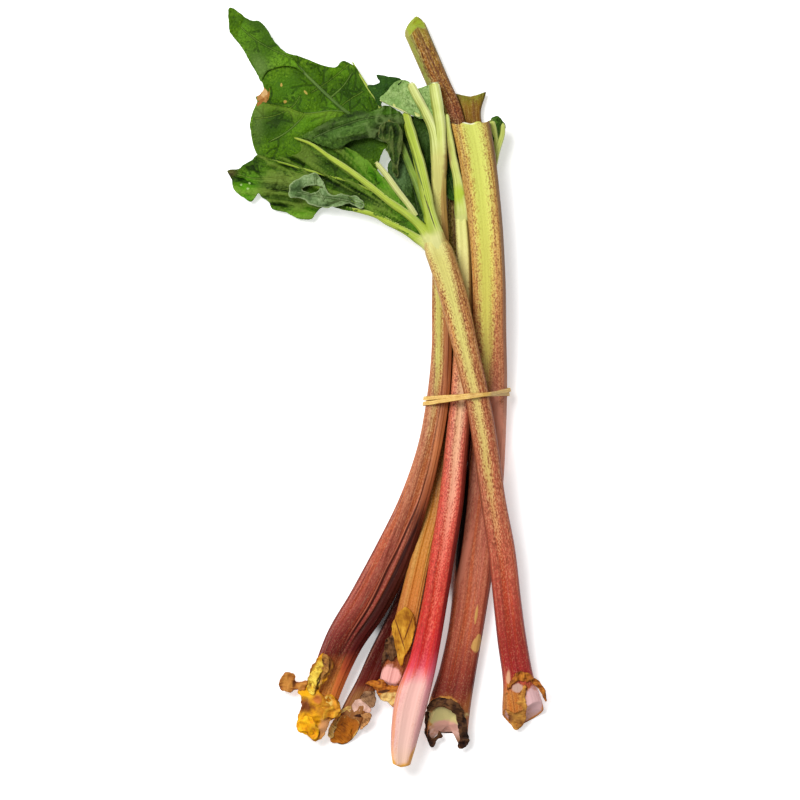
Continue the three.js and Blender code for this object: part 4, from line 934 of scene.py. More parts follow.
tip_finish = leaf_finish(
    "leaf_tip_green", (54, 88, 8), (72, 110, 16), (94, 134, 26), (122, 156, 56),
    (120, 150, 96), rim_tone=(62, 96, 20),
    washes=[((90, 118, 50), -88, 224, (10, 5), -50), ((54, 86, 14), -92, 254, (11, 3), -28),
            ((92, 136, 20), -66, 227, (9, 5), -30), ((86, 130, 22), -103, 250, (6, 5), -40)])
tip = grow_sheet(
    "leaf_tip",
    [(-110, 265), (-102, 260.5), (-95, 256.5), (-88.5, 255), (-82.5, 248), (-79, 242), (-71.5, 234.5),
     (-65.5, 229.5), (-58, 219), (-62.5, 222), (-71, 224), (-78, 222.5), (-83.5, 220.5), (-86, 217),
     (-87.5, 214), (-89, 215.5), (-95, 227.5), (-102, 238.5), (-107, 244.5), (-110, 250.5)],
    [(-110, 265, 4.5), (-85, 252, 9.5), (-105, 243, 3), (-96, 225, 3.5), (-88, 214, 6), (-72, 223, 14.5),
     (-62, 222, 14), (-90, 238, 10), (-68, 232, 11.5)],
    tip_finish, veins=[[(-110, 262), (-98, 248), (-84, 238), (-66, 229)]], seed=8, reach=10, curl=0.3)
give_to_bunch(tip, "leaf")


def fan_folds(x, y, height, count, seed):
    """Folds that spread out like a fan from where the ribs leave the stalk."""
    away = np.hypot(x - 26, y - 104)
    heading = np.arctan2(y - 104, x - 26) * 180 / math.pi
    swing = 10 * (clouds(x, y, 30, seed + 1) - 0.5)
    fold = creases(heading * count / 18 + swing * 0.3, away / 26, 1.0, seed) - 0.5
    return height * fold * np.clip(away / 40, 0.3, 1)


lobe_finish = leaf_finish(
    "leaf_lobe_green", (48, 78, 8), (64, 98, 14), (86, 124, 26), (134, 158, 62),
    (120, 150, 96), patch=80.0, fold_depth=1.5,
    washes=[((84, 146, 10), -98, 138, (10, 8), 20), ((92, 146, 20), -62, 121, (11, 4), 10),
            ((72, 60, 34), -109, 150.5, (4, 3), 0), ((42, 62, 14), -24, 136, (22, 3), -26),
            ((50, 76, 14), -44, 156, (20, 5), -16), ((72, 126, 14), -10, 150, (20, 5.5), -46),
            ((78, 140, 20), 14, 124, (16, 5), -50), ((86, 106, 46), -74, 142, (16, 7), 8),
            ((62, 86, 22), -72, 132, (12, 5), -30)],
    spots=[((150, 176, 110), -102, 142, (0.8, 0.8), 0), ((150, 176, 110), -97, 139, (0.9, 0.7), 0),
           ((150, 176, 110), -96, 143, (0.7, 0.7), 0)])
lobe = grow_sheet(
    "leaf_lobe",
    [(-60.5, 175), (-48, 172.5), (-34, 168.5), (-27, 166.4), (-16.8, 160.4), (-4.6, 148.4), (5.6, 138),
     (13.7, 127.8), (21.9, 117.4), (27, 107.5), (32.5, 104), (28.5, 98), (21.5, 100), (16, 104), (9, 108.5),
     (2, 112.5), (-6, 118), (-14, 121.5), (-22, 123), (-30.5, 123.5), (-40.5, 126.5), (-47, 125),
     (-50, 121), (-52, 118), (-57, 117.5), (-62, 118), (-71, 122.5), (-80, 125), (-82.5, 130), (-87, 132.5),
     (-89.5, 135.5), (-92.5, 131.5), (-95, 130), (-100, 132.5), (-107.5, 139.5), (-108.5, 146), (-112, 152),
     (-103.5, 153), (-100, 156.5), (-95, 158.5), (-90.5, 162.5), (-78, 160.5), (-60.5, 164)],
    under_ribs(BRIGHT_RIB, LOWER_RIB, FOLD_RIB) + [
        (-110, 150, 1), (-100, 134, 1), (-94, 132, 1), (-85, 133, 4.5), (-95, 146, 5), (-80, 145, 7.5),
        (-70, 124, 2), (-57, 119, 1), (-50, 122, 2), (-60, 133, 7), (-40, 128, 8), (-55, 162, 12),
        (-40, 168, 14), (-4, 146, 22), (6, 137, 24), (14, 127, 26.5), (22, 117, 29), (-75, 160, 8.5),
        (-25, 130, 12.5), (-17, 160, 18)],
    lobe_finish, veins=[ground_line(rib) for rib in (BRIGHT_RIB, FOLD_RIB)] + [
        [(-39, 147), (-52, 142), (-70, 139), (-86, 137)],
        [(-55, 151), (-72, 147), (-90, 146), (-104, 149)]],
    seed=12, reach=14, curl=0.9,
    folds=lambda x, y: fan_folds(x, y, 4.4, 7, 3) + fan_folds(x, y, 2.2, 17, 9)
    + 1.6 * (creases(x * 1.2 + y, y * 1.2, 5, 12) - 0.5) * np.clip((-50 - x) / 20, 0, 1))
give_to_bunch(lobe, "leaf")


def curl_folds(x, y):
    """Long folds that run along the flap, crumpled where it is gathered at the ribs."""
    along, across = x * 0.97 + y * 0.24, y * 0.97 - x * 0.24
    crumple = np.clip((x + 20) / 14, 0, 1)
    long_folds = creases(along / 3.2, across, 5.4, 31) + 0.6 * creases(along / 2.4, across, 2.9, 33)
    return 2.0 * (long_folds - 0.8) + 3.6 * crumple * (creases(x, y, 5.0, 35) - 0.5)


curl_finish = leaf_finish(
    "leaf_curl_green", (38, 58, 14), (54, 82, 20), (76, 106, 34), (124, 148, 84),
    (100, 128, 84), patch=110.0, fold_depth=1.5,
    washes=[((76, 108, 44), -24, 181, (18, 4), 18), ((34, 42, 16), 2, 177, (9, 9), 30),
            ((30, 42, 12), -12, 173, (16, 2.4), 4), ((66, 104, 24), -2, 191, (11, 2.4), -6)],
    spots=[((128, 126, 52), 3, 182, (1.2, 4), 30), ((146, 138, 70), 7, 177, (0.8, 3), 50),
           ((120, 118, 52), -4, 178, (0.8, 3.4), -40)])
curl = grow_sheet(
    "leaf_curl",
    [(-58.8, 173.9), (-51.9, 178.7), (-43.6, 183.6), (-35.9, 187), (-28.3, 189.4), (-20, 191.9),
     (-12.4, 191.2), (-6.8, 192.9), (-0.6, 195), (7, 192.6), (11.2, 187), (11.9, 178.7), (9.1, 171.8),
     (3.6, 173.2), (-0.6, 169.7), (-5.5, 170.7), (-12.4, 172.5), (-20, 171.1), (-26.2, 170), (-32.5, 166.2),
     (-40.1, 166.6), (-49.1, 169.7)],
    [(-56, 174, 15), (-43, 182, 17), (-22, 191, 21), (-2, 195, 23.5), (11, 188, 22.5), (10, 173, 24.5),
     (-12, 174, 23.5), (-30, 169, 20.5), (-40, 168, 18.5), (-22, 183, 23), (-5, 184, 25)],
    curl_finish, veins=[[(-50, 174), (-36, 180), (-16, 186), (6, 189)]], seed=17, reach=5, curl=0.8,
    ragged=0.7, folds=curl_folds)
give_to_bunch(curl, "leaf")

shred_finish = leaf_finish(
    "leaf_shred_green", (28, 40, 12), (42, 64, 18), (68, 92, 32), (124, 136, 70),
    (56, 76, 36), patch=150.0, fold_depth=1.4, rim_tone=(112, 122, 70))
shred = grow_sheet(
    "leaf_shred",
    [(-4, 182), (2.2, 184.1), (8.4, 182), (11.2, 175.8), (10.5, 166.2), (10.1, 162.7), (7.7, 154.4),
     (8.4, 147.5), (6.3, 145.1), (4.3, 148.9), (2.5, 157.2), (0.8, 162), (-1.3, 164.1), (0.8, 168.2),
     (-2.6, 171), (-6.1, 173.8)],
    [(2, 183, 27), (11, 176, 27), (7, 147, 24), (-4, 173, 26), (9, 164, 28), (2, 170, 28.5)],
    shred_finish, seed=19, curl=1.4, ragged=0.6,
    cell=0.9, folds=lambda x, y: 3.4 * (creases(x * 1.4, y / 2.2, 4.2, 41) - 0.5))
give_to_bunch(shred, "leaf")

pale_finish = leaf_finish(
    "leaf_back_pale", (92, 118, 70), (118, 142, 94), (144, 164, 118), (160, 178, 130),
    (70, 108, 42), patch=110.0, fold_depth=1.1, rim_tone=(160, 176, 128), shine=0.6,
    washes=[((84, 108, 58), -34, 131, (10, 3), 6), ((78, 106, 58), -62, 136, (4, 6), 10)],
    spots=[((60, 74, 34), -57, 138, (1, 3.4), 70), ((70, 80, 40), -47, 139.5, (0.7, 3), 80),
           ((64, 80, 40), -36, 129, (5, 0.7), 12)])
pale = grow_sheet(
    "leaf_pale_flap",
    [(-68, 139.6), (-63.5, 144.2), (-56.5, 147.7), (-49.5, 149.4), (-45.9, 145.3), (-42.5, 139.6),
     (-39, 133.7), (-30.8, 134.3), (-20.3, 132.5), (-15.6, 126.7), (-18, 124.3), (-26.1, 127.8),
     (-33.2, 125.5), (-44.8, 125.5), (-54.1, 127.8), (-58.8, 131.4), (-67, 132.5)],
    [(-50, 149, 15.5), (-66, 134, 11.5), (-43, 134, 15), (-30, 128, 18), (-18, 126, 21),
     (-55, 138, 14.5)],
    pale_finish, veins=[[(-18, 127), (-30, 130.5), (-46, 133), (-62, 136)],
                        [(-44, 131), (-49, 140), (-50, 148)]],
    seed=27, reach=9, curl=0.7, ragged=0.6, cell=0.9, puff=0.6,
    holes=[[(-58.3, 138.2), (-54.8, 140.3), (-50, 141), (-46.5, 139.6), (-48.6, 136.8), (-53.4, 135.5)]],
    folds=lambda x, y: 1.6 * (creases(x, y, 6, 43) - 0.5))
give_to_bunch(pale, "leaf")

inner_finish = leaf_finish(
    "leaf_inner_green", (34, 56, 12), (48, 74, 22), (74, 100, 44), (104, 126, 74),
    (110, 136, 88), patch=90.0, fold_depth=1.2, washes=[((84, 112, 66), 10, 148, (6, 12), -10)])
inner = grow_sheet(
    "leaf_inner",
    [(10.5, 187), (21, 188), (29, 186), (34, 176), (34.5, 158), (34, 144), (33, 130.5), (31.5, 115),
     (25.5, 108), (17.5, 119), (9.5, 134), (3.5, 143), (0.5, 150), (2, 157), (6.5, 164), (10.5, 172)],
    [(11, 186, 18.5), (24, 184, 17), (34, 180, 14.5), (34, 160, 14.5), (33, 138, 15.5), (8, 155, 21),
     (18, 125, 27.5), (29, 116, 27)],
    inner_finish, veins=[[(24, 112), (20, 130), (16, 150), (14, 172)]], seed=29, reach=12,
    folds=lambda x, y: 1.6 * (creases(x, y / 2.5, 5, 45) - 0.5))
give_to_bunch(inner, "leaf")

# The leaf's ribs. One Geometry Nodes tree sweeps a rounded bar along every path it is given,
# as thick at each point as the path says; the same tree makes the cut leaf bases' ribs and
# the rubber band.


def path_tree():
    tree = bpy.data.node_groups.new("bar_along_paths", "GeometryNodeTree")
    for socket, kind in (("Paths", "Geometry"), ("Width", "Float"), ("Height", "Float"),
                         ("Rounding", "Float"), ("Corner Steps", "Int"), ("Finish", "Material")):
        tree.interface.new_socket(socket, in_out="INPUT", socket_type="NodeSocket" + kind)
    tree.interface.new_socket("Bars", in_out="OUTPUT", socket_type="NodeSocketGeometry")
    given = tree.nodes.new("NodeGroupInput")
    paths, width, height, rounding, steps, finish = [Wire(tree, o) for o in given.outputs[:6]]
    bar = width.node("GeometryNodeCurvePrimitiveQuadrilateral", {}, {"Width": width, "Height": height})
    bar = bar.node("GeometryNodeFilletCurve", {"mode": "POLY"},
                   {"Curve": bar, "Count": steps, "Radius": rounding, "Limit Radius": True})
    place = bar.node("GeometryNodeInputPosition", {}, {})
    bar = bar.node("GeometryNodeStoreNamedAttribute", {"data_type": "FLOAT_VECTOR"},
                   {"Geometry": bar, "Name": "side", "Value": place})
    outward = bar.node("GeometryNodeInputNamedAttribute", {"data_type": "FLOAT_VECTOR"},
                       {"Name": "outward"})
    girth = bar.node("GeometryNodeInputNamedAttribute", {"data_type": "FLOAT"}, {"Name": "girth"})
    lines = paths.node("GeometryNodeMeshToCurve", {}, {"Mesh": paths})
    lines = lines.node("GeometryNodeSetCurveNormal", {"mode": "FREE"},
                       {"Curve": lines, "Normal": outward})
    bars = lines.node("GeometryNodeCurveToMesh", {},
                      {"Curve": lines, "Profile Curve": bar, "Scale": girth, "Fill Caps": True})
    bars = bars.node("GeometryNodeRealizeInstances", {}, {"Geometry": bars})
    bars = bars.node("GeometryNodeSetMaterial", {}, {"Geometry": bars, "Material": finish})
    ending = tree.nodes.new("NodeGroupOutput")
    tree.links.new(bars.socket, ending.inputs[0])
    return tree


BAR_TREE = path_tree()
PATH_STEP = 0.9


def sweep_bars(name, paths, finish, width=2, height=2, rounding=0.5, steps=5, closed=False):
    """A bar along each path. A path is rows of x, y, z, girth, tint and the way out of it."""
    rows = np.vstack(paths)
    edges, first = [], 0
    for path in paths:
        ring = np.arange(first, first + len(path))
        edges += np.stack([ring[:-1], ring[1:]], -1).tolist()
        if closed:
            edges.append([int(ring[-1]), int(ring[0])])
        first += len(path)
    bare = show(name + "_paths", mesh_of(
        name + "_paths", rows[:, :3], edges, [], girth=rows[:, 3], tint=rows[:, 4], outward=rows[:, 5:8]))
    sweep = bare.modifiers.new("sweep", "NODES")
    sweep.node_group = BAR_TREE
    sizes = {"Width": width * MM, "Height": height * MM, "Rounding": rounding * MM,
             "Corner Steps": steps, "Finish": finish}
    for socket in BAR_TREE.interface.items_tree:
        if socket.name in sizes:
            sweep[socket.identifier] = sizes[socket.name]
    seen = bare.evaluated_get(bpy.context.evaluated_depsgraph_get())
    bars = bpy.data.meshes.new_from_object(seen)
    bars.name = name
    bars.shade_smooth()
    piece = show(name, bars)
    bpy.data.objects.remove(bare)
    return piece


def rib_path(stations, tint, wobble_seed, tip=0.35):
    """A rib from its stations of x, y, z and width, uneven as grown ribs are."""
    stations = np.array(stations, float)
    length = run_length(stations[:, :3])
    share = np.linspace(0, 1, int(length / PATH_STEP) + 4)
    line = spline(stations[:, :3], share)
    girth = spline(stations[:, 3:], share)[:, 0] / 2
    girth *= 1 + 0.16 * (clouds(share * length, 0 * share, 7, wobble_seed) - 0.5)
    girth[-3:] *= np.array([0.85, 0.6, tip])
    line[:, 2] += 0.5 * (clouds(share * length, 0 * share + 3, 9, wobble_seed) - 0.5)
    up = np.tile((0.0, 0.0, 1.0), (len(line), 1))
    return np.column_stack([line, girth, np.full(len(line), tint), up])


def rib_finish(name, rows, blots=()):
    """The skin of a rib: a tint of its own from pale to green, lines along it, a painted highlight
    on its left face and painted shade on its right one, as the lamp stands to the left."""
    finish = Finish(name)
    tint = finish.field("tint", "Fac")
    side = finish.field("side").scaled(1000, 1000, 0)
    mottle = finish.spot.noise(90.0, 3.0, 0.5)
    lengthwise = side.scaled(0.011, 0.011, 0)
    lengthwise = lengthwise.node("ShaderNodeVectorMath", {"operation": "ADD"},
                                 {0: lengthwise, 1: finish.spot.scaled(0.05, 0.07, 0.05)})
    fine = lengthwise.noise(420.0, 3.0, 0.6)
    colour = (tint + (mottle - 0.5) * 0.3).ramp(rows)
    colour = colour.times((176, 176, 100), fine.fade(0.5, 0.34) * 0.7)
    colour = colour.blend((236, 238, 188), fine.fade(0.54, 0.72) * (1 - tint) * 0.4)
    # Painted light: the left face is lightened as a highlight and the right face darkened as shade.
    left = side.part(1)
    colour = colour.blend((236, 238, 190), left.fade(0.45, 0.8) * (1 - tint) * 0.4)
    colour = colour.times((160, 166, 90), left.fade(-0.5, -0.8) * 0.6)
    colour = finish.blots(colour, blots, 0.5)
    return finish.feed(colour, mottle * 0.3 + 0.3, fine, depth=0.0009, sheen=0.25)


leaf_rib_finish = rib_finish("leaf_rib_green", [
    (0.0, 204, 206, 140), (0.25, 190, 202, 90), (0.45, 170, 188, 58), (0.65, 140, 168, 44),
    (0.85, 92, 124, 40), (1.0, 66, 98, 30)],
    # The two long thin dark blots are painted shade in the groove down the back rib.
    blots=[((70, 92, 24), 21.5, 149, (14, 0.45), -73.6), ((80, 80, 24), 29.6, 121, (12, 0.5), -72),
           ((200, 198, 126), 33, 100, (9, 8), 0, 1.4), ((150, 166, 50), 27, 112, (3, 7), 40, 1.2),
           ((168, 140, 78), 42.5, 97, (3.2, 10), 22, 0.9), ((178, 146, 92), 28.4, 93, (1.6, 6), 20, 0.8)])
BACK_RIB = [
    (39, 88, 33.6, 9.5), (34.8, 101.5, 34, 12), (30, 119, 31.5, 9), (26.5, 136.5, 29, 8),
    (22, 157.5, 25.5, 7.5), (17, 175, 22.5, 7.2), (12.5, 191, 20, 6.2)]
OLIVE_RIB = [
    (29, 114.5, 31, 5.5), (25.5, 126, 29, 5.2), (21, 140, 26.5, 5.2), (15.5, 154, 24, 5),
    (10.5, 167, 21.5, 4.8), (6.5, 176.5, 19.5, 4), (3, 184.5, 18, 3.2)]
CUT_RIB = [
    (20, 118.5, 29, 4), (15.5, 125.5, 29, 4.2), (7.5, 136, 28, 4.2), (0, 146.5, 26.5, 4.2),
    (-7.5, 156, 24.5, 3.7)]
leaf_ribs = sweep_bars("leaf_ribs", [
    rib_path(BACK_RIB, 0.45, 1), rib_path(MID_RIB, 0.92, 2), rib_path(BRIGHT_RIB, 0.48, 3),
    rib_path(OLIVE_RIB, 0.78, 4), rib_path(LOWER_RIB, 0.5, 5), rib_path(CUT_RIB, 0.05, 6, tip=0.8),
    rib_path(FOLD_RIB, 0.62, 7), rib_path(EDGE_RIB, 0.5, 8),
    *(rib_path(rib, 0.86, 9 + k) for k, rib in enumerate(SIDE_RIBS))],
    leaf_rib_finish, rounding=0.6)
give_to_bunch(leaf_ribs, "leaf")

# What is left of the leaves on the other stalks: pale forked vein ends, cut short, with scraps
# of leaf between and behind them, seen from their grey green backs.
base_rib_finish = rib_finish("leaf_base_rib_pale", [
    (0.0, 214, 220, 146), (0.3, 198, 208, 110), (0.6, 176, 188, 78), (1.0, 150, 158, 78)],
    blots=[((196, 190, 108), 37, 146, (7, 18), 0, 1.2), ((150, 128, 72), 41.4, 144, (2.8, 24), -2, 1.0),
           ((204, 208, 126), 51.6, 108, (5, 14), 0, 1.0), ((168, 190, 50), 50, 134, (4, 6), 0, 1.2),
           ((190, 196, 116), 72, 149, (5, 5), 0, 1.4), ((240, 242, 196), 15, 211.5, (4, 1.6), 0, 0.6),
           ((240, 242, 196), 32.5, 212, (5, 1.6), 0, 0.6)])
left_base_ribs = sweep_bars("left_leaf_base_ribs", [
    rib_path([(36.4, 116, 19, 7), (35.8, 138, 20.3, 8.4), (34.8, 158, 21.6, 9), (32.5, 176.5, 22.4, 7.2),
              (26.5, 191, 23.5, 6.4), (21, 201, 25, 6), (16, 210.5, 25.5, 5.4)], 0.16, 21, tip=0.9),
    rib_path([(37.4, 116, 19, 7), (37, 138, 20.3, 8.2), (37.4, 158, 21.6, 8.4), (37, 178.5, 22.5, 7.8),
              (35.5, 191, 23, 8), (34, 201, 23.5, 8), (32.5, 211, 23.5, 7)], 0.26, 22, tip=0.95),
    rib_path([(-4.5, 199.5, 23.5, 2), (9, 193.5, 24.2, 2.8), (24, 187.5, 24.2, 3.2)], 0.2, 23)],
    base_rib_finish)
give_to_bunch(left_base_ribs, "pale_leaf_base", "left_leaf_base")

scrap_finish = leaf_finish(
    "leaf_base_scrap_pale", (116, 148, 78), (136, 166, 96), (160, 184, 118),
    (170, 190, 116), (80, 116, 48), patch=100.0, shine=0.6)
green_scrap_finish = leaf_finish(
    "leaf_base_scrap_green", (34, 64, 16), (48, 82, 24), (76, 114, 38), (110, 140, 60),
    (120, 146, 96), patch=100.0)
LEFT_BASE_KNOWN = [
    (34, 165, 21.3), (27, 190, 23.5), (21, 201, 25), (14, 211, 25.5), (36, 190, 23), (33, 210, 23.5),
    (-4.5, 199.5, 23.5), (9, 193.5, 24.2), (24, 187.5, 24.2)]
for name, outline, finish, seed in (
        ("left_pale_scrap", [(7, 212), (15.5, 211.5), (19, 201), (23, 192), (26.5, 186.5), (22, 186.5),
                             (9, 193), (-4.5, 199), (-1.5, 203.5), (3.5, 209)], scrap_finish, 51),
        ("left_scrap_between", [(21, 206), (30, 209), (34, 202.5), (34.5, 185.5), (30.5, 184), (28, 191),
                                (21.5, 200.5)], scrap_finish, 52),
        ("left_green_scrap", [(-7, 216.5), (2, 215), (10, 213), (6, 207), (1, 202.5), (-3.5, 198),
                              (-5, 194.5), (-9.5, 202.5), (-13.5, 209), (-8.5, 210), (-5, 211.5)],
         green_scrap_finish, 53)):
    scrap = grow_sheet(name, outline, LEFT_BASE_KNOWN, finish, veins=[outline[2:6]], reach=6, seed=seed,
                       cell=0.9, curl=0.7, folds=lambda x, y: 0.8 * (creases(x, y, 5, 55) - 0.5))
    give_to_bunch(scrap, "pale_leaf_base")

pink_base_ribs = sweep_bars("pink_leaf_base_ribs", [
    rib_path([(52.8, 86, 17.8, 6), (52.5, 106, 18.9, 8), (51.4, 124, 20.2, 9), (49, 144, 20.4, 6.6),
              (46, 158, 20.5, 5.4), (43.8, 171.5, 21, 4.8), (42.3, 182, 21.5, 3.7),
              (41.5, 189.5, 22, 2.6)], 0.35, 24)],
    base_rib_finish)
give_to_bunch(pink_base_ribs, "pale_leaf_base", "pink_leaf_base")
pink_scrap = grow_sheet(
    "pink_green_scrap",
    [(39.5, 166), (43.5, 166), (46.5, 152), (48.5, 138), (49.5, 131), (45, 130), (41.5, 133), (39, 142),
     (38.6, 154)],
    [(42, 164, 14.5), (42, 150, 16.5), (47, 134, 18)], green_scrap_finish,
    veins=[[(47, 132), (42, 150)]], reach=4, seed=57, cell=0.9)
give_to_bunch(pink_scrap, "pale_leaf_base")

broad_base_ribs = sweep_bars("broad_leaf_base_ribs", [
    rib_path([(71, 146, 19, 6.2), (73, 159.5, 17.5, 6.2), (74.5, 168.5, 17, 6), (74, 178, 18, 5),
              (72, 185.5, 19, 5)], 0.45, 25, tip=0.8),
    rib_path([(72, 146, 19, 5.5), (75, 158, 18, 4.5), (77, 166.5, 18, 4.2), (80, 175.5, 18.5, 3.7),
              (80.5, 183.5, 19.5, 3)], 0.4, 26)],
    base_rib_finish)
give_to_bunch(broad_base_ribs, "pale_leaf_base", "broad_leaf_base")
broad_scrap = grow_sheet(
    "broad_green_scrap",
    [(72, 186.5), (76.5, 188.5), (80, 185.5), (82.5, 181.5), (81, 176.5), (76.5, 163.5), (74, 156.5),
     (72, 165), (72, 179)], [(74, 186, 19), (82, 181, 20), (74, 158, 17)], green_scrap_finish,
    veins=[[(75, 160), (79, 186)]], reach=5, seed=58, cell=0.9, curl=1.0)
give_to_bunch(broad_scrap, "pale_leaf_base")

# The dried and torn coverings at the feet: a crumpled yellow heel round the left stalk, with a
# tab and torn leaves of husk on it, and loose husk on the long stalk, the leaf stalk, the
# broad stalk and the dark stalk.


def husk_finish(name, light, middle, dark, line_turn=0.0, blots=(), patch=150.0):
    """Dried papery husk in three browns, with fine fibres that run one way, painted shade in the
    fold valleys and a painted highlight on the fold ridges.
    """
    finish = Finish(name)
    fold = finish.field("fold", "Fac")
    patches = finish.spot.noise(patch, 4.0, 0.62)
    cos, sin = math.cos(math.radians(line_turn)), math.sin(math.radians(line_turn))
    over = finish.spot.dot(cos, sin, 0.0) * 1500
    long = finish.spot.dot(-sin, cos, 0.0) * 90
    grain = over.node("ShaderNodeCombineXYZ", {}, {0: over, 1: long}).noise(1.0, 3.0, 0.6)
    colour = (patches + (grain - 0.5) * 0.3).ramp([(0.35, *dark), (0.5, *middle), (0.64, *light)])
    colour = colour.times((150, 110, 80), grain.fade(0.44, 0.32) * 0.8)
    # Painted shade in the fold valleys and a painted highlight on the fold ridges; after the blots, more
    # painted fold shade.
    colour = colour.times((120, 84, 56), fold.fade(-0.3, -1.3) * 0.85)
    colour = colour.blend(light, fold.fade(0.4, 1.4) * 0.5)
    colour = finish.blots(colour, blots, 0.6)
    colour = colour.times((140, 96, 60), fold.fade(-0.4, -1.6) * 0.6)
    rim = finish.field("from_rim", "Fac") + (patches - 0.5) * 2.4
    colour = colour.times((150, 104, 66), rim.fade(0.5, 0.0) * 0.4)
    shine = patches * 0.3 + 0.42
    return finish.feed(colour, shine, grain + patches * 0.4, depth=0.0008, sheen=0.12)


def crumple(height, cell, seed):
    """Folds for a sheet that has been crumpled: large creases with finer ones on them."""
    return lambda x, y: height * (
        creases(x, y, cell, seed) - 0.5 + 0.5 * creases(x, y, cell / 2, seed + 1) - 0.25)


HEEL_KNOWN = [
    (-33, -188, 24), (-38, -197, 23.5), (-50, -196, 17), (-24, -190, 18), (-44, -210, 22), (-46, -219, 21),
    (-35, -215, 16), (-58, -208, 12), (-74, -206, 7), (-60, -225, 12), (-48, -228, 18.5), (-50, -244, 12),
    (-36, -230, 13), (-28, -198, 19)]
YELLOW, UMBER = (228, 166, 14), (120, 62, 24)
CREAM_HIGHLIGHT, SKIN_TAN, PINK_TAN = (230, 196, 104), (192, 112, 50), (208, 146, 92)
# Among the heel's patches, the pale yellow strip at -49.8, -202 and the cream spot at -40.4, -217 are
# painted highlights, and the thin dark line at -44.6, -200 is painted shade along a fold.
HEEL_PATCHES = [
    ((176, 112, 48), -53, -193, (8, 2.6), 60), ((236, 214, 92), -49.8, -202, (14, 4), 66),
    ((150, 92, 46), -41.5, -192.4, (8, 3.6), 60), ((70, 40, 22), -44.6, -200, (8, 0.8), 57),
    (YELLOW, -56.2, -210.4, (6, 5.6), 10), (UMBER, -57, -221.4, (6.4, 5), 80),
    ((244, 178, 14), -55, -235.5, (10, 8.6), 20), (PINK_TAN, -43.4, -235, (3.6, 8), -20),
    ((226, 152, 44), -39, -222, (8, 6), 20), (CREAM_HIGHLIGHT, -40.4, -217, (2.8, 3.4), 20),
    (SKIN_TAN, -47.5, -216, (3.4, 3.4), 0), (UMBER, -33.4, -224, (1, 3), -20)]
heel_finish = husk_finish("heel_husk", (222, 158, 26), (206, 136, 22), (156, 90, 26), -60,
                          blots=[patch + (0.9,) for patch in HEEL_PATCHES])
heel = grow_sheet(
    "left_heel",
    [(-43.9, -183.1), (-40, -185.5), (-37.4, -190.4), (-38.1, -194.4), (-41, -199.7), (-44.4, -205.1),
     (-46.4, -210), (-43.4, -213), (-40, -212.5), (-36.1, -214), (-34.1, -218.8), (-31.9, -221.8),
     (-32.5, -226.7), (-35.7, -229.6), (-40, -232.1), (-41.5, -237.5), (-43.9, -242.4), (-48.4, -246.1),
     (-53.2, -243.4), (-58.2, -240), (-63, -236.5), (-62.1, -229.6), (-60.1, -224.3), (-59.6, -217.9),
     (-60.6, -214), (-62.1, -211), (-58.2, -207.1), (-54.8, -202.2), (-53.2, -196.3), (-50.3, -190.4),
     (-47.4, -185.5)],
    [(x, y, z + 0.8) for x, y, z in HEEL_KNOWN], heel_finish, spread=6, cell=0.7, ragged=0.8, curl=1.0,
    thickness=1.0, puff=0, folds=crumple(3.4, 8.0, 61), seed=61)
give_to_bunch(heel, "dried_husk", "left_heel")

for name, outline, lift, colours, turn, seed in (
        ("heel_tab", [(-55, -203), (-59, -204.5), (-63, -203.6), (-63.4, -200.2), (-66.4, -197.6),
                      (-71, -198), (-74.6, -202), (-75.6, -207.5), (-73, -210.8), (-67.5, -211.5),
                      (-62, -209.5), (-58, -211.5)], 0.5,
         ((200, 138, 62), (178, 112, 48), (140, 80, 32)), 90, 62),
        ("heel_left_leaf", [(-46.6, -188), (-50, -193), (-53.4, -200), (-55, -207), (-52, -212),
                            (-49.6, -209), (-48, -203), (-45.6, -198), (-44, -193), (-45, -190)], 1.8,
         ((236, 208, 84), (216, 180, 60), (156, 108, 34)), 64, 63),
        ("heel_top_leaf", [(-43.6, -183.4), (-40.6, -185), (-39.4, -190), (-40.6, -195), (-43.4, -200),
                           (-46.4, -206), (-45.4, -199), (-43.6, -193), (-45, -187)], 3.2,
         ((190, 136, 64), (150, 98, 46), (96, 56, 28)), 60, 64),
        ("heel_yellow_leaf", [(-61, -231), (-62, -236), (-58, -238.6), (-54, -242), (-49.4, -244.6),
                              (-47.4, -239), (-48.6, -232), (-52, -228), (-56, -227.4)], 2.2,
         ((248, 190, 30), (242, 172, 16), (214, 132, 20)), 20, 65),
        ("heel_right_leaf", [(-45.6, -218), (-42, -212.6), (-38, -213.6), (-35, -215.6), (-32.6, -221),
                             (-33.6, -226), (-37, -229), (-41, -228), (-44, -229.6), (-44.6, -223)], 2.2,
         ((228, 176, 54), (214, 142, 32), (168, 94, 24)), 100, 66)):
    leaf = grow_sheet(
        name, outline, [(x, y, z + lift) for x, y, z in HEEL_KNOWN], husk_finish(name, *colours, turn),
        spread=6, cell=0.7, ragged=0.8, curl=1.4, thickness=0.7, puff=0, folds=crumple(2.4, 6.5, seed),
        seed=seed)
    give_to_bunch(leaf, "dried_husk")

scale_finish = husk_finish(
    "scale_husk", (214, 160, 52), (194, 134, 36), (160, 100, 26), 8, patch=110.0,
    blots=[((120, 66, 22), 15, -166, (0.5, 9), -20), ((120, 66, 22), 9, -170, (0.45, 10), 18)])
scale = grow_sheet(
    "dry_scale",
    [(12, -151.5), (16, -153.5), (19.5, -160.5), (18.5, -171), (16.5, -178), (13, -185), (10, -193),
     (7, -185), (5, -174.5), (3.5, -164), (6.5, -157)],
    [(12, -152, 26.5), (12, -172, 25), (19, -165, 24), (4, -165, 25), (10, -192, 22.5), (6, -182, 23)],
    scale_finish, spread=6, cell=0.8, ragged=0.5, curl=0.8, puff=0, seed=71,
    folds=lambda x, y: 1.3 * (creases(x * 1.2, y / 3, 6, 71) - 0.5))
give_to_bunch(scale, "dried_husk", "dry_scale")

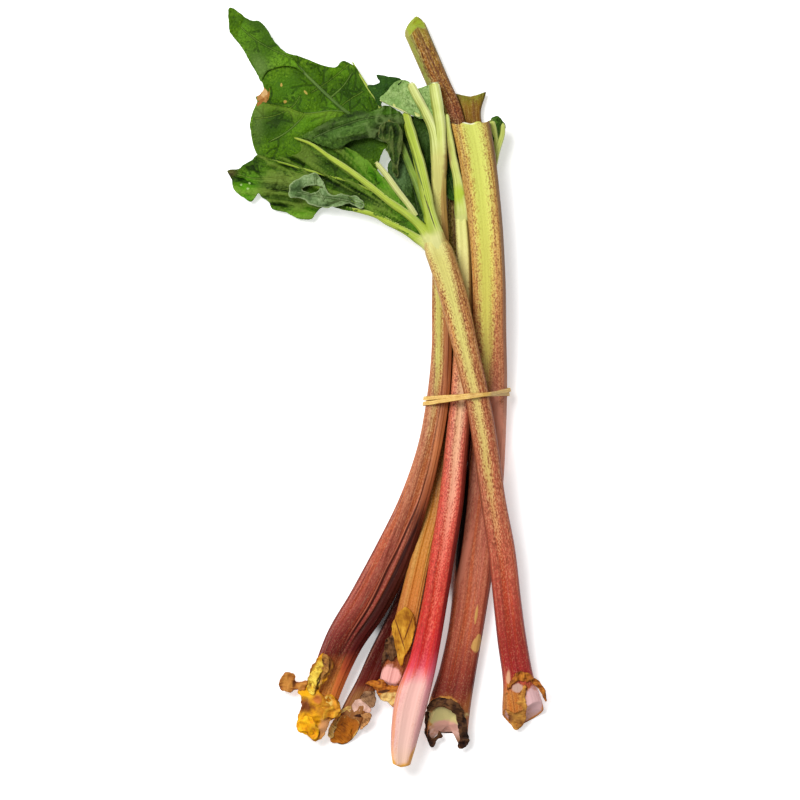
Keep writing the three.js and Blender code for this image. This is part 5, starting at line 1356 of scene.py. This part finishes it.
flap_finish = husk_finish(
    "flap_husk", (204, 130, 44), (184, 104, 30), (120, 58, 24), 80,
    blots=[((226, 190, 116), 2, -216, (7, 5), 10, 0.6), ((84, 44, 20), -2, -210.5, (5, 1), 10)])
flap = grow_sheet(
    "dry_flap",
    [(-16, -205.5), (-8, -203.5), (-3.5, -202.5), (2, -206), (8.5, -207), (10.5, -211), (7, -222),
     (1, -218.5), (-6, -214.5), (-9, -209)],
    [(-16, -205, 14), (-4, -206, 17.5), (8, -208, 20.5), (6, -221, 17)],
    flap_finish, spread=5, cell=0.7, ragged=0.9, curl=1.6, thickness=0.9, puff=0,
    folds=crumple(2.6, 5, 73), seed=73)
give_to_bunch(flap, "dried_husk", "dry_flap")

DARK_HUSK = ((110, 74, 44), (70, 42, 26), (40, 24, 18))
AMBER_HUSK = ((214, 156, 70), (184, 120, 50), (124, 70, 30))
DARK_FOOT_KNOWN = [
    (-12, -212, 12.8), (-20, -216, 13.2), (-11, -224, 11), (-20, -226, 11.6), (-28, -222, 11.4),
    (-18, -236, 7.6), (-28, -238, 7), (-38, -238, 5.6), (-30, -248, 2.8), (-39, -246, 2.8)]
for name, slot, outline, known, colours, turn, folds, seed in (
        ("long_wrinkled_husk", "long_stalk_skin",
         [(0, -174), (5, -171), (7.5, -176), (8, -184), (4, -188), (-1, -189), (-4, -194), (-3, -184)],
         [(2, -174, 23), (7, -182, 23), (-3, -190, 18)], DARK_HUSK, 10, crumple(2.2, 3.5, 75), 75),
        ("leaf_foot_fold", "leaf_stalk_skin",
         [(83.8, -209), (86.4, -205.6), (88.9, -213.3), (93.1, -211.6), (96, -205.6), (96.5, -217.5),
          (96.2, -232.8), (91.1, -238.7), (86.4, -233.6), (82.6, -220.9)],
         [(84, -210, 15), (96, -206, 17), (96.5, -217, 15), (96, -232, 7.5), (91, -238, 4), (86, -233, 7),
          (83, -220, 12), (90, -222, 14.5)], AMBER_HUSK, 80, crumple(1.6, 6, 77), 77),
        ("leaf_foot_hood", "leaf_stalk_skin",
         [(83, -207.4), (86.4, -202.3), (91.5, -197.2), (97.4, -197.2), (101.6, -199.7), (106.3, -204.8),
          (110.1, -210.8), (111.2, -217.5), (109.7, -217.5), (108, -212.5), (104.1, -207.7), (99.9, -204.8),
          (95.7, -204.3), (91.5, -203.1), (87.2, -206.5), (84.3, -209.9)],
         [(84, -208, 15), (91.5, -198, 17.4), (97, -198, 17.8), (104, -203, 17), (110, -211, 13),
          (111, -217, 9.5)],
         ((204, 128, 44), (168, 96, 34), (112, 60, 24)), 10, crumple(2.0, 4, 78), 78),
        ("broad_foot_crescent", "broad_stalk_skin",
         [(27.1, -225.7), (29.1, -219.2), (35.5, -215.2), (43.1, -215.2), (50.7, -219.2), (54.5, -229.1),
          (56.6, -242.6), (57.2, -246), (54.1, -250.7), (49.6, -251), (50.4, -242.6), (48.4, -231.6),
          (46.5, -225.7), (43.1, -222.7), (38.9, -221.6), (35.5, -222), (29.6, -224.3)],
         [(30, -220, 17.4), (41, -216, 18.4), (51, -220, 17.8), (55, -234, 14), (53, -249, 8),
          (29, -226, 14)],
         DARK_HUSK, 70, crumple(2.4, 4.5, 79), 79),
        ("broad_foot_left_prong", "broad_stalk_skin",
         [(27.1, -225.7), (26.2, -239.2), (29.1, -247.3), (31.8, -250.5), (35.5, -245.1), (39.2, -242.9),
          (36, -238.4), (34.8, -242.6), (31.3, -244.3), (29.1, -240), (28.4, -232.4), (29, -225.7)],
         [(28, -228, 13), (29, -240, 8), (32, -248, 4), (37, -242, 6)], DARK_HUSK, 60,
         crumple(1.2, 4, 81), 81),
        ("dark_foot_rim", "dark_stalk_skin",
         [(-25.8, -220.6), (-24.4, -222.1), (-27.4, -228.5), (-31.8, -231.9), (-35.7, -237.8), (-38, -244),
          (-40.8, -243), (-40.6, -237.8), (-35.6, -229.9), (-30.8, -223.6)], DARK_FOOT_KNOWN,
         ((230, 194, 116), (212, 168, 90), (160, 112, 56)), 50, crumple(1.0, 4, 83), 83),
        ("dark_foot_flesh", "dark_stalk_skin",
         [(-20, -216.2), (-15.1, -219.2), (-10.9, -223.3), (-12.1, -225.8), (-18, -225.3), (-26.9, -228.5),
          (-24.4, -221.1)], DARK_FOOT_KNOWN,
         ((236, 196, 178), (228, 184, 164), (204, 156, 136)), 40, crumple(0.8, 6, 84), 84),
        ("dark_foot_scoop", "dark_stalk_skin",
         [(-26.9, -228.5), (-19, -227.5), (-16.9, -230), (-19, -236.8), (-24.4, -238.8), (-24.9, -244.7),
          (-28.8, -248.8), (-34.7, -248.8), (-39.6, -247.1), (-38.6, -242.7), (-34.7, -236.8),
          (-30.8, -231.5)], [(x, y, z - 0.8) for x, y, z in DARK_FOOT_KNOWN],
         ((188, 112, 26), (168, 94, 18), (128, 68, 16)), 50, crumple(1.0, 7, 85), 85),
        ("dark_foot_flap", "dark_stalk_skin",
         [(-18, -227.4), (-10.2, -227), (-13.1, -233.9), (-18, -238.3), (-19, -236.8), (-16.6, -230)],
         DARK_FOOT_KNOWN, ((222, 170, 112), (206, 148, 90), (130, 84, 46)), 50,
         crumple(1.4, 4, 86), 86),
        ("dark_foot_cover", "dark_stalk_skin",
         [(-19, -215.2), (-15.1, -211.7), (-9.2, -211.2), (-7.6, -216.1), (-10.2, -222), (-15.1, -218.8)],
         DARK_FOOT_KNOWN, ((168, 128, 92), (144, 106, 74), (90, 60, 40)), 50,
         crumple(1.4, 4, 87), 87)):
    leaf = grow_sheet(name, outline, known, husk_finish(name, *colours, turn), spread=6, cell=0.7,
                      ragged=0.7, curl=1.0, thickness=0.7, puff=0, folds=folds, seed=seed)
    give_to_bunch(leaf, slot)

# The rubber band: one flat loop wound twice round the bunch. The two windings lie side by
# side, stray to either side of a slanting line and change sides where they cross on top.
BAND_WIDTH = 2.8
BAND_THICKNESS = 1.2
BAND_GAP = 0.5
BAND_X, BAND_Y = 46, -7
BAND_SLOPE = 0.11
BAND_SPREAD = 2.35
BAND_RISE = 0.65
BAND_START = 0.71
BAND_HEADINGS = 240
BAND_POINTS = 520


def tight_outline(points):
    """The convex outline of flat points, anticlockwise."""
    points = sorted(set(map(tuple, np.round(points, 3).tolist())))
    chains = []
    for run in (points, points[::-1]):
        chain = []
        for point in run:
            while len(chain) > 1:
                (ax, ay), (bx, by) = chain[-2:]
                if (bx - ax) * (point[1] - ay) - (by - ay) * (point[0] - ax) > 0:
                    break
                chain.pop()
            chain.append(point)
        chains += chain[:-1]
    return np.array(chains)


held = []
for stalk in (left_stalk, leaf_stalk, pink_stalk, broad_stalk, long_stalk, dark_stalk):
    skin = np.empty(len(stalk.data.vertices) * 3)
    stalk.data.vertices.foreach_get("co", skin)
    skin = skin.reshape(-1, 3) * 1000 + (*BUNCH_CENTRE, 0)
    off_line = skin[:, 1] - BAND_Y - BAND_SLOPE * (skin[:, 0] - BAND_X)
    held.append(skin[np.abs(off_line) < BAND_WIDTH / 2 + BAND_SPREAD][:, ::2])
girth = tight_outline(np.vstack(held))
headings = np.linspace(0, 2 * math.pi, BAND_HEADINGS, endpoint=False)
outward = np.column_stack([np.cos(headings), np.sin(headings)])
touching = girth[(outward @ girth.T).argmax(1)]
loop = touching + outward * (BAND_GAP + BAND_THICKNESS / 2)
strides = np.linalg.norm(np.roll(loop, -1, axis=0) - loop, axis=1)
passed = np.concatenate([[0], np.cumsum(strides)])
loop = np.vstack([loop, loop[:1]])

share = np.linspace(0, 2, BAND_POINTS, endpoint=False)
way = (BAND_START + share) % 1 * passed[-1]
across, up = np.interp(way, passed, loop[:, 0]), np.interp(way, passed, loop[:, 1])
phase = math.pi * share
ahead = unit(np.column_stack([np.roll(way, -3) - np.roll(way, 3) for way in (across, up)]))
out_x, out_z = ahead[:, 1], -ahead[:, 0]
lift = np.where(share < 1, 2 * BAND_RISE * np.sin(phase) ** 2, 0)
stray = BAND_SPREAD * np.cos(phase) + 0.25 * (clouds(share * 30, 0 * share, 1, 91) - 0.5)
lean = 0.5 * (clouds(share * 18, 0 * share + 5, 1, 93) - 0.5)
band_path = np.column_stack([
    across + out_x * lift, BAND_SLOPE * (across - BAND_X) + BAND_Y + stray,
    np.maximum(up + out_z * lift, 0.8), 1 + 0.12 * (clouds(share * 24, 0 * share, 1, 95) - 0.5),
    0.5 + 0 * share, out_x, lean, out_z])

band_finish = Finish("band_rubber")
wear = band_finish.spot.noise(240.0, 4.0, 0.6)
dust = band_finish.spot.noise(1500.0, 2.0, 0.5)
rubber = wear.ramp([(0.34, 200, 158, 76), (0.52, 218, 180, 94), (0.7, 232, 202, 118)])
rubber = rubber.times((214, 190, 150), dust.fade(0.5, 0.36) * 0.5)
# Painted shade: the band darkens towards its edges. Two faint dark lines run near its middle, in patches.
edge = band_finish.field("side").part(1).size() * 1000
rubber = rubber.times((190, 144, 84), edge.fade(BAND_WIDTH * 0.36, BAND_WIDTH * 0.5) * 0.7)
rubber = rubber.times((190, 146, 84), (edge - 0.3).size().fade(0.22, 0.06) * wear.fade(0.4, 0.55) * 0.6)
band_finish.feed(rubber, wear * 0.3 + 0.35, wear * 0.6 + dust * 0.4, depth=0.0003)
band = sweep_bars("rubber_band", [band_path], band_finish.material, width=BAND_THICKNESS,
                  height=BAND_WIDTH, rounding=0.42, steps=3, closed=True)
give_to_bunch(band, "band_rubber", "rubber_band")
